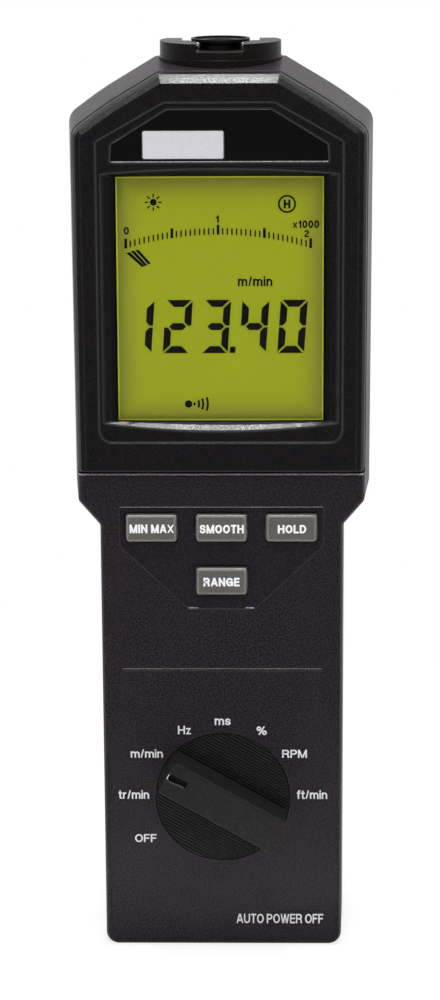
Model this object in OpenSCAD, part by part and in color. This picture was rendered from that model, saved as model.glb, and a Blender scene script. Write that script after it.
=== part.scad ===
// Hand-held laser tachometer, standing on its bottom end with its display towards -Y.
// The sensor looks out of the top, along +Z.

/* [Case] */
// Height of the handle, from the bottom end to the seam under the head cover
handle_h = 117.2; // [112:0.2:124]
// Height of the head, from that seam to its flat top
head_h = 94; // [91:0.2:98]
// Width of the head where the two shells meet
head_w = 70.6; // [69:0.2:75]
// Width of the handle where the two shells meet
handle_w = 58; // [56.6:0.2:62]
// Depth of the front shell, from the meeting plane to the face of the handle
front_d = 20.5; // [20:0.1:22.5]
// How far the face of the head stands in front of the face of the handle
head_proud = 1.5; // [0.9:0.1:2]
// Depth of the rear shell
rear_d = 18.5; // [18.3:0.1:21]
// Depth of the head cover, from its seam to its face
cover_d = 5; // [4.8:0.1:5.6]
// Thickness of the moulded walls
wall = 2.2; // [1.9:0.1:2.4]

/* [Display] */
// Width of the frame on each side of the display that shows
window_side = 11.7; // [11.3:0.1:13]
// Height of the display that shows
window_h = 56.2; // [52:0.1:57]
// Height of the display's lower edge above the seam
window_rise = 12.3; // [11.6:0.1:13]
// Rise of the bowed edges over their width
bow_rise = 2; // [1:0.1:2.6]
// Thickness of the clear window
pane_t = 1.2; // [0.8:0.1:1.3]
// Thickness of the liquid crystal cell
cell_t = 2; // [1.6:0.1:2.4]

/* [Keys] */
// Width of a key
key_w = 11.8; // [10.5:0.1:13]
// Height of a key
key_h = 6.5; // [6:0.1:7.4]
// Distance between the keys of the upper row
key_pitch = 16.3; // [15.9:0.1:17]
// Height of the upper row's middle below the seam
key_row_drop = 13.2; // [12.8:0.1:14]
// Drop from the upper row to the lower key
key_row_pitch = 12.8; // [12.2:0.1:13.6]
// How far a key stands out of the face
key_proud = 1; // [0.8:0.1:1.4]
// Travel of a key
key_travel = 0.8; // [0.5:0.1:0.8]

/* [Selector] */
// Height of the selector's axis above the bottom end
knob_z = 37.8; // [37:0.2:41]
// Radius of the round hole that the knob turns in
knob_hole_r = 16.1; // [14.5:0.1:16.4]
// How far the knob's bar stands out of the face
knob_proud = 8; // [6:0.1:9]
// Width of the bar where it leaves the disc
bar_w = 9.4; // [9:0.1:11]
// Width of the bar at its top
bar_top_w = 8.7; // [7:0.1:8.9]
// Distance between the fine ridges beside the bar
ridge_pitch = 0.73; // [0.6:0.01:1]
// Angle of the pointer, counted from the right
pointer_angle = 150; // [0:30:210]

/* [Sensor] */
// Radius of the collar that an adapter slides over
collar_r = 14; // [13:0.1:15]
// Height of the collar above the head
collar_h = 3.6; // [3:0.1:4.5]
// Radius of the lip of the sensor barrel
lip_r = 6.8; // [6:0.1:7.2]
// Height of the barrel's lip above the head
barrel_rise = 4.1; // [3.9:0.1:5]
// Radius of the lens
lens_r = 4; // [3.5:0.1:4.2]

/* [Battery] */
// Width of the battery block
battery_w = 26.5; // [25:0.1:27]
// Depth of the battery block
battery_t = 17.5; // [16:0.1:17.7]
// Height of the battery block, with its terminals
battery_h = 48.5; // [46:0.1:49.5]
// Thickness of the battery door
door_t = 2.4; // [2.1:0.1:2.5]

/* [Hidden] */
$fn = 64;

// Overrun of every cut, clearance between loose pieces and running clearance of a bearing
cut = 0.5;
loose = 0.3;
running = 0.05;
// Radius below which a rounded corner of an outline isn't drawn in
least_r = 0.4;
// Steps in each rounded corner
corner_steps = 6;

// Depths, counted from the middle of the overall depth
split_y = (front_d + knob_proud - rear_d) / 2;
panel_y = split_y - front_d;
plateau_y = panel_y - head_proud;
seam_y = plateau_y + cover_d;
back_y = split_y + rear_d;
panel_in_y = panel_y + wall;
head_in_y = seam_y + wall;

// Heights
seam_z = handle_h;
head_top_z = handle_h + head_h;

// Outline of the case where the shells meet
seam_gap = 0.3;
seam_lip_drop = 0.45;
handle_corner_r = 3;
shoulder_low_drop = 13.7;
shoulder_high_drop = 6.8;
shoulder_inner_r = 1.2;
shoulder_outer_r = 1.8;
head_foot_narrow = 0.7;
head_corner_drop = 13.2;
head_corner_r = 4;
brow_x_share = 0.774;
brow_drop = 7.35;
brow_r = 80;
crown_w = 30;
crown_r = 1;

// Draft of the walls, as the inset at the head cover's seam
head_draft = 1.5;
shoulder_draft = 2.3;
crown_draft = 2;
hip_draft = 1;
handle_draft = 0.65;
draft_depth = front_d + head_proud - cover_d;

// Tongue of the rear shell in the front shell's groove
tongue_t = 0.8;
tongue_h = 1.2;
tongue_inset = (wall - tongue_t) / 2;
tongue_gap = 0.12;

// Width of the display that shows
window_w = head_w - 2 * window_side;

// Display opening, from the head cover's shallow recess down to the pane
recess_d = 0.5;
pane_setback = 2;
pane_y = plateau_y + pane_setback;
pane_back_y = pane_y + pane_t;
window_z = seam_z + window_rise;
window_top_z = window_z + window_h;
bezel_side = 3.4;
bezel_foot = 0.5;
bezel_head = 0.8;
frame_foot_drop = 5;
frame_foot_r = 3;
frame_w = 56;
frame_top_w = 25;
frame_top_rise = 16.9;
frame_corner_rise = 8.1;
pane_margin_x = 2.2;
pane_margin_z = 2.6;
top_bow_share = 0.6;
flat_bow = 0.1;

// Plate above the display, with the bare silver plate on it
plate_t = 0.5;
plate_seat = 0.4;
plate_gap = 0.12;
plate_foot_w = 49.5;
plate_corner_w = 49;
plate_top_w = 23.6;
plate_foot_rise = 3.5;
plate_corner_rise = 7.5;
plate_top_rise = 15.3;
plate_corner_r = 0.5;
silver_w = 18.2;
silver_h = 6.2;
silver_t = 0.3;
silver_proud = 0.1;
silver_x = -17.25;
silver_rise = 0.8;

// Liquid crystal cell, light plate and holder, on the main board
cell_margin_x = 1.3;
cell_margin_z = 2.6;
cell_gap = 0.2;
cell_y = pane_back_y + cell_gap;
cell_back_y = cell_y + cell_t;
guide_t = 2.6;
zebra_t = 2;
zebra_inset = 0.5;
lamp_w = 3;
lamp_h = 1.4;
lamp_t = 1.2;
holder_wall = 1.6;
holder_gap = 0.15;
holder_lip = 0.5;
holder_opening_gap = 0.4;
holder_front_setback = 0.6;

// Main board
board_setback = 9.9;
board_t = 1.6;
board_y = panel_y + board_setback;
board_back_y = board_y + board_t;
board_handle_gap = 4.6;
board_margin = 0.35;
board_foot_z = 18;
board_hip_drop = 4;
board_hip_z = seam_z - board_hip_drop;
board_neck_drop = 21;
board_top_drop = 15;
board_top_w = 34;
board_corner_r = 1.5;
post_r = 2.6;
board_screw_r = 0.85;
board_head_r = 1.7;
board_head_t = 1.2;
board_screw_l = 5;
pilot_gap = 0.05;
hole_gap = 0.2;
board_screw_x = 21.5;
board_screw_low_drop = 44.8;
board_screw_low_z = seam_z - board_screw_low_drop;
board_screw_high_rise = 2.8;
board_screw_high_z = seam_z + board_screw_high_rise;
board_screw_top_x = 14;
board_screw_top_drop = 17.8;
board_screw_top_z = head_top_z - board_screw_top_drop;

// Parts on the back of the board
chip_t = 1.5;
chip_lead_w = 0.4;
chip_lead_l = 0.8;
chip_lead_t = 0.3;
chip_lead_pitch = 1.27;
big_chip_w = 14;
small_chip_w = 5;
small_chip_l = 8;
big_chip_rise = 32;
small_chip_rise = 55;
small_chip_x = 12;
driver_chip_drop = 22;
capacitor_r = 2.5;
capacitor_h = 4.6;
capacitor_drop = 36;
capacitor_pitch = 6.5;
buzzer_r = 7;
buzzer_h = 3;
buzzer_hole_r = 1;
buzzer_drop = 14;

// Keys
key_gap = 0.35;
key_corner_r = 0.6;
key_bevel = 0.45;
key_flange = 0.9;
key_flange_t = 1;
key_flange_gap = 0.2;
plunger_r = 2.2;
mat_t = 1;
mat_wall = 1.1;
mat_gap = 0.3;
mat_margin = 1.6;
mat_corner_r = 2;
mat_stop_gap = 0.4;
key_row_z = seam_z - key_row_drop;
key_low_z = key_row_z - key_row_pitch;
key_places = [[-key_pitch, key_row_z], [0, key_row_z], [key_pitch, key_row_z], [0, key_low_z]];
key_flange_y = panel_in_y + key_flange_gap;
key_flange_back_y = key_flange_y + key_flange_t;
plunger_end_y = board_y - mat_t - key_travel + mat_gap;

// Shallow panel round the keys and the fine line above the selector
panel_step = 0.25;
panel_w = 47.3;
panel_foot_w = 15.4;
panel_rise = 4.8;
panel_side_drop = 4.4;
panel_foot_drop = 6.8;
line_w = 46.8;
line_t = 0.35;
line_drop = 47.6;
line_z = seam_z - line_drop;

// Selector knob, its cup in the front shell and what turns behind it
cup_depth = 3.4;
cup_wall = 1.8;
cup_floor = 1.6;
cup_floor_y = panel_y + cup_depth;
cup_back_y = cup_floor_y + cup_floor;
knob_gap = 0.3;
knob_r = knob_hole_r - knob_gap;
knob_face_drop = 0.2;
knob_face_y = panel_y + knob_face_drop;
bar_end_setback = 0.6;
bar_end_r = knob_r - bar_end_setback;
bar_edge_r = 0.8;
ridge_d = 0.35;
ridge_w_share = 0.5;
slot_w = 1.7;
slot_l = 4.9;
slot_d = 1;
slot_end_gap = 0.3;
slot_side = 0.6;
hub_r = 4;
hub_flat = 3.2;
clip_t = 0.6;
clip_r = 5.6;
clip_groove = 0.7;
hub_end_gap = 0.6;
rotor_t = 3.2;
rotor_gap = 0.3;
rotor_y = cup_back_y + rotor_gap;
rotor_back_y = rotor_y + rotor_t;
clip_y = rotor_back_y;
ring_wall = 4;
ring_r = knob_hole_r + cup_wall;
ring_in_r = ring_r - ring_wall;
ring_gap = 0.3;
rotor_r = ring_in_r - ring_gap;
notch_d = 0.5;
notch_r = 1.6;
stations = 12;
ball_r = 1.2;
ball_gap = 0.15;
ball_reach = ring_in_r - ball_gap;
ball_at = ball_reach - ball_r;
spring_wire_r = 0.16;
spring_turns = 5;
spring_steps = 10;
spring_sides = 6;
spring_l = 3;
spring_r = ball_r - spring_wire_r - running;
contact_t = 0.3;
contact_tip_r = 0.6;
contact_gap = 0.15;
contact_r = 8.6;
contact_w = 1.6;
contact_arm = 35;

// Sensor barrel on the head's top
collar_wall = 6.7;
collar_notch_w = 10.8;
collar_notch_h = 1.8;
collar_cut_back = 6.1;
collar_slot_w = 18;
collar_slot_front = 1.2;
collar_cut_y = split_y + collar_cut_back;
collar_gap = 0.1;
collar_foot_grow = 0.3;
collar_web = 2;
collar_web_drop = 4.4;
flange_grow = 1.5;
flange_t = 1.8;
flange_drop = 3;
groove_gap = 0.15;
lip_t = 0.75;
mouth_wall = 0.6;
mouth_d = 0.45;
neck_r = 4.9;
neck_foot_r = 5.5;
neck_rise = 0.5;
neck_foot_z = head_top_z + neck_rise;
barrel_r = 7.5;
barrel_drop = 1;
barrel_top_z = head_top_z - barrel_drop;
barrel_shoulder_grow = 1.1;
barrel_shoulder_t = 2;
barrel_gap = 0.1;
barrel_l = 15;
barrel_foot_z = barrel_top_z - barrel_l;
bore_r = 6.4;
web_under_z = head_top_z - collar_web_drop - collar_web;
lens_t = 2.4;
lens_gap = 0.05;
lens_drop = 0.5;
lens_z = head_top_z - lens_drop;
lens_rim = 0.5;
lens_aperture_r = lens_r - lens_rim;
lens_curve_r = 9;
lens_edge_t = 0.8;
lens_sag = sqrt(lens_curve_r * lens_curve_r - lens_aperture_r * lens_aperture_r)
    - sqrt(lens_curve_r * lens_curve_r - lens_r * lens_r);
lens_half = lens_edge_t / 2 + lens_sag + running;
lens_ring_t = 1;
sensor_board_t = 1.6;
sensor_board_w = 22;
sensor_board_d = 16;
sensor_board_z = barrel_foot_z - sensor_board_t;
can_r = 2.4;
can_h = 3.2;
can_flange_r = 2.8;
can_flange_t = 0.8;
can_x = 3.1;
can_glass_r = 1.2;
can_glass_t = 0.2;
header_w = 12;
header_h = 2.5;
header_d = 2.5;
pin_r = 0.3;
pin_pitch = 2;
pins = 5;
pin_places = [for (i = [0 : pins - 1]) [(i - (pins - 1) / 2) * pin_pitch, sensor_board_z - header_h / 2]];

// Battery bay, door, snap and leads
battery_gap = 0.4;
battery_edge_r = 2;
battery_cap_h = 2.4;
bay_wall = 1.2;
bay_foot_z = 5;
pad_t = 1.5;
battery_z = bay_foot_z + pad_t;
battery_body_h = battery_h - battery_cap_h;
battery_top_z = battery_z + battery_h;
snap_h = 3;
snap_room = 4.6;
bay_top_z = battery_top_z + snap_h + snap_room;
bay_w = battery_w + 2 * battery_gap;
door_gap = 0.2;
door_lap = 1.6;
door_w = bay_w + 2 * door_lap;
door_foot_rise = 1.5;
door_foot_z = bay_foot_z + door_foot_rise;
door_top_z = bay_top_z + door_lap;
door_in_y = back_y - door_t;
door_floor_y = door_in_y - door_gap;
battery_back_y = door_floor_y - battery_gap;
battery_y = battery_back_y - battery_t;
bay_in_y = battery_y - battery_gap;
door_pin_r = 0.8;
door_pin_l = 1.6;
door_axis_y = back_y - door_t / 2;
door_axis_z = door_foot_z + door_t / 2;
grip_ribs = 5;
grip_pitch = 2.4;
grip_w = 14;
grip_t = 1;
grip_d = 0.5;
thumb_r = 12;
thumb_d = 1.1;
terminal_r = 3;
terminal_x = 6.5;
lead_r = 0.7;
lead_sides = 8;
lead_slot_w = 5;
lead_slot_h = 2.6;

// Screws that close the case and hold the head cover
case_screw_r = 1.4;
case_head_r = 2.6;
case_head_t = 2;
case_screw_l = 13;
case_boss_r = 3.2;
case_post_r = 4.2;
case_floor_t = 4;
slot_depth = 0.6;
slot_width = 0.6;
case_top_x = 22;
case_top_drop = 16.5;
case_top_z = head_top_z - case_top_drop;
case_foot_inset = 6.6;
case_foot_x = handle_w / 2 - case_foot_inset;
case_foot_z = 9;
case_places = [[-case_top_x, case_top_z], [case_top_x, case_top_z],
    [-case_foot_x, case_foot_z], [case_foot_x, case_foot_z]];
cover_screw_r = 0.8;
cover_head_r = 1.6;
cover_head_t = 1;
cover_boss_r = 1.9;
cover_screw_inset = 5.6;
cover_screw_end = 6;
cover_screw_x = head_w / 2 - cover_screw_inset;
cover_screw_low_z = window_z + cover_screw_end;
cover_screw_high_z = window_top_z - cover_screw_end;
cover_places = [[-cover_screw_x, cover_screw_low_z], [cover_screw_x, cover_screw_low_z],
    [-cover_screw_x, cover_screw_high_z], [cover_screw_x, cover_screw_high_z]];
board_places = [[-board_screw_x, board_screw_low_z], [board_screw_x, board_screw_low_z],
    [-board_screw_x, board_screw_high_z], [board_screw_x, board_screw_high_z],
    [-board_screw_top_x, board_screw_top_z], [board_screw_top_x, board_screw_top_z]];

// Outlines. Each is a list of [x, z], counter-clockwise as seen from the front.
function unit(v) = v / norm(v);
function left_of(d) = [-d[1], d[0]];
function at(list, i) = list[(i + len(list)) % len(list)];
function reversed(list) = [for (i = [len(list) - 1 : -1 : 0]) list[i]];
function both_sides(right) = concat(right, [for (p = reversed(right)) [-p[0], p[1]]]);
function both_edges(right, top, bottom) = concat(right, [top], reversed(right), [bottom]);
function both_corners(right) = concat(right, reversed(right));

// Moves each edge of an outline inwards by its own amount. Edge i starts at point i.
function inset(p, s) = [for (i = [0 : len(p) - 1])
    let (m = left_of(unit(p[i] - at(p, i - 1))),
         n = left_of(unit(at(p, i + 1) - p[i])),
         c = m * n,
         u = at(s, i - 1),
         v = s[i])
    p[i] + (m * (u - v * c) + n * (v - u * c)) / (1 - c * c)];

// Rounds each corner of an outline to its own radius, as an arc of equal steps.
function rounded(p, r, steps = corner_steps) = [for (i = [0 : len(p) - 1])
    let (a = unit(p[i] - at(p, i - 1)),
         b = unit(at(p, i + 1) - p[i]),
         turn = atan2(a[0] * b[1] - a[1] * b[0], a * b),
         start = p[i] - a * r[i] * tan(abs(turn) / 2),
         middle = start + left_of(a) * r[i] * sign(turn),
         first = atan2(start[1] - middle[1], start[0] - middle[0]))
    for (k = [0 : steps])
        middle + r[i] * [cos(first + turn * k / steps), sin(first + turn * k / steps)]];

// Rectangle with rounded corners, from its middle or from its low left corner.
function box_outline(mid, size, r) = rounded(
    [[mid[0] + size[0] / 2, mid[1] - size[1] / 2], [mid[0] + size[0] / 2, mid[1] + size[1] / 2],
     [mid[0] - size[0] / 2, mid[1] + size[1] / 2], [mid[0] - size[0] / 2, mid[1] - size[1] / 2]],
    [r, r, r, r]);
function span_outline(low, high, r) = box_outline((low + high) / 2, high - low, r);

// Corners of the right half of the case: handle, hip, head, brow and crown.
hip_low = [handle_w / 2, seam_z - shoulder_low_drop];
hip_high = [(head_w - head_foot_narrow) / 2, seam_z - shoulder_high_drop];
head_corner = [head_w / 2, head_top_z - head_corner_drop];
brow = [head_w / 2 * brow_x_share, head_top_z - brow_drop];
crown = [crown_w / 2, head_top_z];
hip_seam = hip_high + (head_corner - hip_high)
    * (seam_z - hip_high[1]) / (head_corner[1] - hip_high[1]);

function convex_r(r, e) = max(r - e, least_r);

// Whole case outline at a draft share k, with every edge moved in by e.
function case_outline(k, e) = rounded(
    inset(both_sides([[handle_w / 2, 0], hip_low, hip_high, head_corner, brow, crown]),
        both_edges([handle_draft * k + e, hip_draft * k + e, head_draft * k + e,
            shoulder_draft * k + e, shoulder_draft * k + e], crown_draft * k + e, e)),
    both_corners([convex_r(handle_corner_r, e), shoulder_inner_r + e,
        convex_r(shoulder_outer_r, e), convex_r(head_corner_r, e), brow_r, crown_r]));

// Outline of the head cover; foot is the inset of its lower edge.
function cover_outline(k, e, foot) = rounded(
    inset(both_sides([hip_seam, head_corner, brow, crown]),
        both_edges([head_draft * k + e, shoulder_draft * k + e, shoulder_draft * k + e],
            crown_draft * k + e, foot)),
    both_corners([least_r, convex_r(head_corner_r, e), brow_r, crown_r]));

// Share of the draft at a depth in front of or behind the meeting plane.
function draft_share(y) = abs(split_y - y) / draft_depth;

// Extrudes an outline of x and z between two depths.
module slab(front, back) {
    translate([0, back, 0])
        rotate([90, 0, 0])
            linear_extrude(back - front)
                children();
}

// Round bar along the depth, on an axis given by x and z.
module rod(place, r, front, back) {
    translate([place[0], back, place[1]])
        rotate([90, 0, 0])
            cylinder(r = r, h = back - front);
}

// Upright round bar on an axis given by x and y.
module post(place, r, low, high) {
    translate([place[0], place[1], low])
        cylinder(r = r, h = high - low);
}

// Solid through a row of outlines with equal numbers of points, the front one first.
// Each end is closed by strips from point i to the point opposite, counted from the end.
module loft(outlines, depths) {
    n = len(outlines[0]);
    last = len(outlines) - 1;
    points = [for (k = [0 : last]) for (p = outlines[k]) [p[0], depths[k], p[1]]];
    front_face = [for (i = [0 : n / 2 - 2]) [n - 1 - i, n - 2 - i, i + 1, i]];
    back_face = [for (f = front_face) last * n * [1, 1, 1, 1] + reversed(f)];
    sides = [for (k = [0 : last - 1]) for (i = [0 : n - 1])
        let (j = (i + 1) % n, a = k * n, b = (k + 1) * n)
        for (t = [[a + i, a + j, b + j], [a + i, b + j, b + i]]) t];
    polyhedron(points, concat(front_face, back_face, sides));
}

// Tube swept along a list of points: rings of equal points square to the path.
module swept(path, r, sides) {
    last = len(path) - 1;
    rings = [for (i = [0 : last])
        let (t = unit(path[min(i + 1, last)] - path[max(i - 1, 0)]),
             u = unit(cross(t, abs(t[2]) < 0.9 ? [0, 0, 1] : [1, 0, 0])),
             v = cross(t, u))
        for (k = [0 : sides - 1]) path[i] + r * (cos(360 * k / sides) * u + sin(360 * k / sides) * v)];
    start_face = [[for (k = [sides - 1 : -1 : 0]) k]];
    end_face = [[for (k = [0 : sides - 1]) last * sides + k]];
    walls = [for (i = [0 : last - 1]) for (k = [0 : sides - 1])
        let (j = (k + 1) % sides, a = i * sides, b = (i + 1) * sides)
        for (f = [[a + k, b + j, a + j], [a + k, b + k, b + j]]) f];
    polyhedron(rings, concat([reversed(start_face[0])], [reversed(end_face[0])],
        [for (w = walls) reversed(w)]));
}

// Screw with a slotted head: the shank runs forward from the head's seat.
module screw(place, seat_y, r, length, head_r, head_t) {
    rod(place, r, seat_y - length, seat_y + least_r);
    difference() {
        rod(place, head_r, seat_y, seat_y + head_t);
        translate([place[0] - head_r - cut, seat_y + head_t - slot_depth, place[1] - slot_width / 2])
            cube([2 * (head_r + cut), slot_depth + cut, slot_width]);
    }
}

// Room for the collar and its flange, taken from both shells.
module collar_room() {
    post([0, split_y], collar_r + collar_foot_grow + collar_gap, head_top_z - 3 * wall, head_top_z + cut);
    post([0, split_y], collar_r + flange_grow + groove_gap,
        head_top_z - flange_drop - flange_t - groove_gap, head_top_z - flange_drop + groove_gap);
}

// Rear moulding: drafted walls, battery bay, screw posts and the tongue round its rim.
module rear_shell() {
    color([0.16, 0.16, 0.17])
    difference() {
        union() {
            difference() {
                rear_body();
                rear_cavity();
            }
            rear_fittings();
            rear_tongue();
        }
        collar_room();
        bay_space();
        door_space();
        for (p = case_places) {
            rod(p, case_screw_r + hole_gap, split_y - cut, back_y + cut);
            rod(p, case_head_r + hole_gap, split_y + case_floor_t, back_y + cut);
        }
    }
}

rear_bend_share = 0.81;
rear_turn_share = 0.935;
rear_turn_inset = 0.7;
rear_face_inset = 2.6;
module rear_body() {
    depths = [split_y, split_y + rear_d * rear_bend_share, split_y + rear_d * rear_turn_share, back_y];
    loft([case_outline(0, 0), case_outline(draft_share(depths[1]), 0),
        case_outline(draft_share(depths[2]), rear_turn_inset),
        case_outline(draft_share(depths[3]), rear_face_inset)], depths);
}

module rear_cavity() {
    depths = [split_y - cut, back_y - wall];
    loft([case_outline(0, wall), case_outline(draft_share(depths[1]), wall + rear_turn_inset)], depths);
}

module rear_fittings() {
    end_y = back_y - wall / 2;
    for (p = case_places)
        rod(p, case_post_r, split_y, end_y);
    translate([-bay_w / 2 - bay_wall, bay_in_y - bay_wall, bay_foot_z - bay_wall])
        cube([bay_w + 2 * bay_wall, end_y - bay_in_y + bay_wall, bay_top_z - bay_foot_z + 2 * bay_wall]);
    translate([-door_w / 2 - door_pin_l - bay_wall, door_floor_y - bay_wall, door_foot_z - door_gap - bay_wall])
        cube([door_w + 2 * (door_pin_l + bay_wall), end_y - door_floor_y + bay_wall,
            door_top_z - door_foot_z + door_gap + 2 * bay_wall]);
}

module rear_tongue() {
    difference() {
        slab(split_y - tongue_h, split_y + wall)
            difference() {
                polygon(case_outline(0, tongue_inset));
                polygon(case_outline(0, tongue_inset + tongue_t));
            }
        rear_tongue_relief();
    }
}

// Where the tongue stops, beside the screw posts of the foot.
module rear_tongue_relief() {
    for (p = case_places)
        rod(p, case_post_r + loose, split_y - tongue_h - cut, split_y);
}

module bay_space() {
    translate([-bay_w / 2, bay_in_y, bay_foot_z])
        cube([bay_w, door_floor_y - bay_in_y + cut, bay_top_z - bay_foot_z]);
    translate([-lead_slot_w / 2, bay_in_y - bay_wall - cut, bay_top_z - lead_slot_h])
        cube([lead_slot_w, bay_wall + 2 * cut, lead_slot_h]);
}

// Door recess, with a blind hole for each pivot pin.
module door_space() {
    translate([-door_w / 2 - door_gap, door_floor_y, door_foot_z - door_gap])
        cube([door_w + 2 * door_gap, door_t + door_gap + cut, door_top_z - door_foot_z + 2 * door_gap]);
    translate([-door_w / 2 - door_gap - door_pin_l, door_axis_y, door_axis_z])
        rotate([0, 90, 0])
            cylinder(r = door_pin_r + running, h = door_w + 2 * (door_gap + door_pin_l));
}

// Front moulding: handle face, side walls of the head and the wall that the cover sits on.
handle_turn = 0.5;
handle_turn_inset = 0.45;
handle_edge = 0.15;
handle_edge_inset = 0.9;
handle_face_inset = 1.6;
handle_top_inset = 0.6;
module front_shell() {
    color([0.16, 0.16, 0.17])
    difference() {
        union() {
            difference() {
                front_body();
                front_cavity();
            }
            front_fittings();
        }
        collar_room();
        knob_space();
        key_spaces();
        face_lines();
        front_groove();
        front_holes();
    }
}

module front_body() {
    depths = [panel_y, panel_y + handle_edge, panel_y + handle_turn, panel_y + 3 * handle_turn, split_y];
    difference() {
        loft([case_outline(draft_share(depths[0]), handle_face_inset),
            case_outline(draft_share(depths[1]), handle_edge_inset),
            case_outline(draft_share(depths[2]), handle_turn_inset),
            case_outline(draft_share(depths[3]), 0), case_outline(0, 0)], depths);
        head_step();
    }
}

// Room for the head cover, with a bevel along the top edge of the handle's face.
module head_step() {
    top = seam_z - seam_lip_drop;
    translate([-head_w, panel_y - cut, top])
        cube([2 * head_w, seam_y - panel_y + cut, head_h]);
    translate([-head_w, 0, 0])
        rotate([90, 0, 90])
            linear_extrude(2 * head_w)
                polygon([[panel_y - cut, top - handle_top_inset - cut], [panel_y + handle_top_inset + cut,
                    top + cut], [panel_y - cut, top + cut]]);
}

// Inner space, which stands further back behind the head cover.
module front_cavity() {
    depths = [panel_in_y, head_in_y, split_y + cut];
    difference() {
        loft([case_outline(draft_share(depths[0]), wall + handle_turn_inset),
            case_outline(draft_share(depths[1]), wall), case_outline(0, wall)], depths);
        translate([-head_w, panel_y, seam_z - wall])
            cube([2 * head_w, head_in_y - panel_y, 2 * head_h]);
    }
}

module front_fittings() {
    rod([0, knob_z], ring_r, panel_in_y - wall / 2, cup_back_y);
    for (p = case_places)
        rod(p, case_boss_r, (p[1] > seam_z ? head_in_y : panel_in_y) - wall / 2, split_y);
    for (p = board_places)
        rod(p, post_r, (p[1] > seam_z ? head_in_y : panel_in_y) - wall / 2, board_y);
}

module knob_space() {
    rod([0, knob_z], knob_hole_r, panel_y - cut, cup_floor_y);
    rod([0, knob_z], hub_r + running, cup_floor_y - cut, cup_back_y + cut);
}

module key_spaces() {
    for (p = key_places)
        slab(panel_y - cut, panel_in_y + cut)
            polygon(box_outline(p, [key_w + 2 * key_gap, key_h + 2 * key_gap], key_corner_r + key_gap));
}

// Shallow panel round the keys and the fine line across the face.
module face_lines() {
    top = key_row_z + panel_rise;
    side = key_row_z - panel_side_drop;
    foot = key_low_z - panel_foot_drop;
    slab(panel_y - cut, panel_y + panel_step)
        polygon(both_sides([[panel_foot_w / 2, foot], [panel_w / 2, side], [panel_w / 2, top]]));
    translate([-line_w / 2, panel_y - cut, line_z - line_t])
        cube([line_w, cut + panel_step, line_t]);
}

module front_groove() {
    slab(split_y - tongue_h - tongue_gap, split_y + cut)
        difference() {
            polygon(case_outline(0, tongue_inset - tongue_gap));
            polygon(case_outline(0, tongue_inset + tongue_t + tongue_gap));
        }
}

// Opening for the display module and the holes for every screw.
module front_holes() {
    slab(seam_y - cut, head_in_y + cut)
        polygon(span_outline(holder_low - holder_room, holder_high + holder_room, board_corner_r));
    for (p = case_places)
        rod(p, case_screw_r + pilot_gap, split_y + case_floor_t - case_screw_l - cut, split_y + cut);
    for (p = board_places)
        rod(p, board_screw_r + pilot_gap, board_y + board_t - board_screw_l - cut, board_y + cut);
    for (p = cover_places)
        rod(p, cover_screw_r + hole_gap, seam_y - cut, head_in_y + cut);
}

cell_low = [-window_w / 2 - cell_margin_x, window_z - cell_margin_z];
cell_high = [window_w / 2 + cell_margin_x, window_top_z + cell_margin_z];
holder_low = cell_low - [1, 1] * (holder_gap + holder_wall);
holder_high = cell_high + [1, 1] * (holder_gap + holder_wall);
holder_room = [1, 1] * holder_opening_gap;

// Front frame of the head: sloped rim, shallow recess and the bowed, bevelled opening.
cover_rim_share = 0.6;
cover_turn_share = 0.86;
cover_seam_inset = 0.15;
cover_rim_inset = 0.45;
cover_turn_inset = 1.1;
cover_face_inset = 2.3;
cover_foot_inset = 0.3;
module head_cover() {
    color([0.14, 0.14, 0.15])
    difference() {
        union() {
            difference() {
                cover_body();
                cover_cavity();
            }
            for (p = cover_places)
                rod(p, cover_boss_r, pane_y - wall / 2, seam_y);
        }
        cover_recess();
        cover_opening();
        name_plate_seat();
        for (p = cover_places)
            rod(p, cover_screw_r + pilot_gap, pane_y, seam_y + cut);
    }
}

module cover_body() {
    depths = [plateau_y, seam_y - cover_d * cover_turn_share, seam_y - cover_d * cover_rim_share, seam_y];
    foot = seam_gap / 2;
    loft([cover_outline(1, cover_face_inset, foot + cover_foot_inset),
        cover_outline(1, cover_turn_inset, foot + cover_foot_inset * cover_rim_share),
        cover_outline(1, cover_rim_inset, foot),
        cover_outline(1, cover_seam_inset, foot)], depths);
}

module cover_cavity() {
    slab(pane_y, seam_y + cut)
        polygon(cover_outline(1, wall + cover_rim_inset, wall));
}

// Shallow field that frames the plate and the display.
module cover_recess() {
    slab(plateau_y - cut, plateau_y + recess_d)
        polygon(rounded(both_sides([[frame_w / 2, window_z - frame_foot_drop],
            [frame_w / 2, window_top_z + frame_corner_rise],
            [frame_top_w / 2, window_top_z + frame_top_rise]]),
            both_corners([frame_foot_r, least_r, least_r])));
}

// Outline whose upper and lower edges bow outwards in circular arcs.
function bow(half, rise) = let (
        r = (half * half + rise * rise) / (2 * rise),
        reach = asin(half / r),
        steps = 2 * corner_steps)
    [for (k = [0 : steps]) let (a = reach * (2 * k / steps - 1)) [r * sin(a), r * cos(a) - r + rise]];
function bowed(half, low_z, high_z, rise, top_rise) = concat(
    [for (p = bow(half, rise)) [p[0], low_z - p[1]]],
    [for (p = bow(half, top_rise)) [-p[0], high_z + p[1]]]);

module cover_opening() {
    half = window_w / 2;
    wide = bowed(half + bezel_side, window_z - bezel_foot, window_top_z + bezel_head, bow_rise,
        bow_rise * top_bow_share);
    narrow = bowed(half, window_z, window_top_z, flat_bow, flat_bow);
    loft([wide, narrow], [plateau_y + recess_d, pane_y]);
    slab(pane_y - least_r / 2, pane_y + cut)
        polygon(narrow);
    slab(plateau_y, plateau_y + recess_d + least_r / 2)
        polygon(wide);
}

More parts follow.
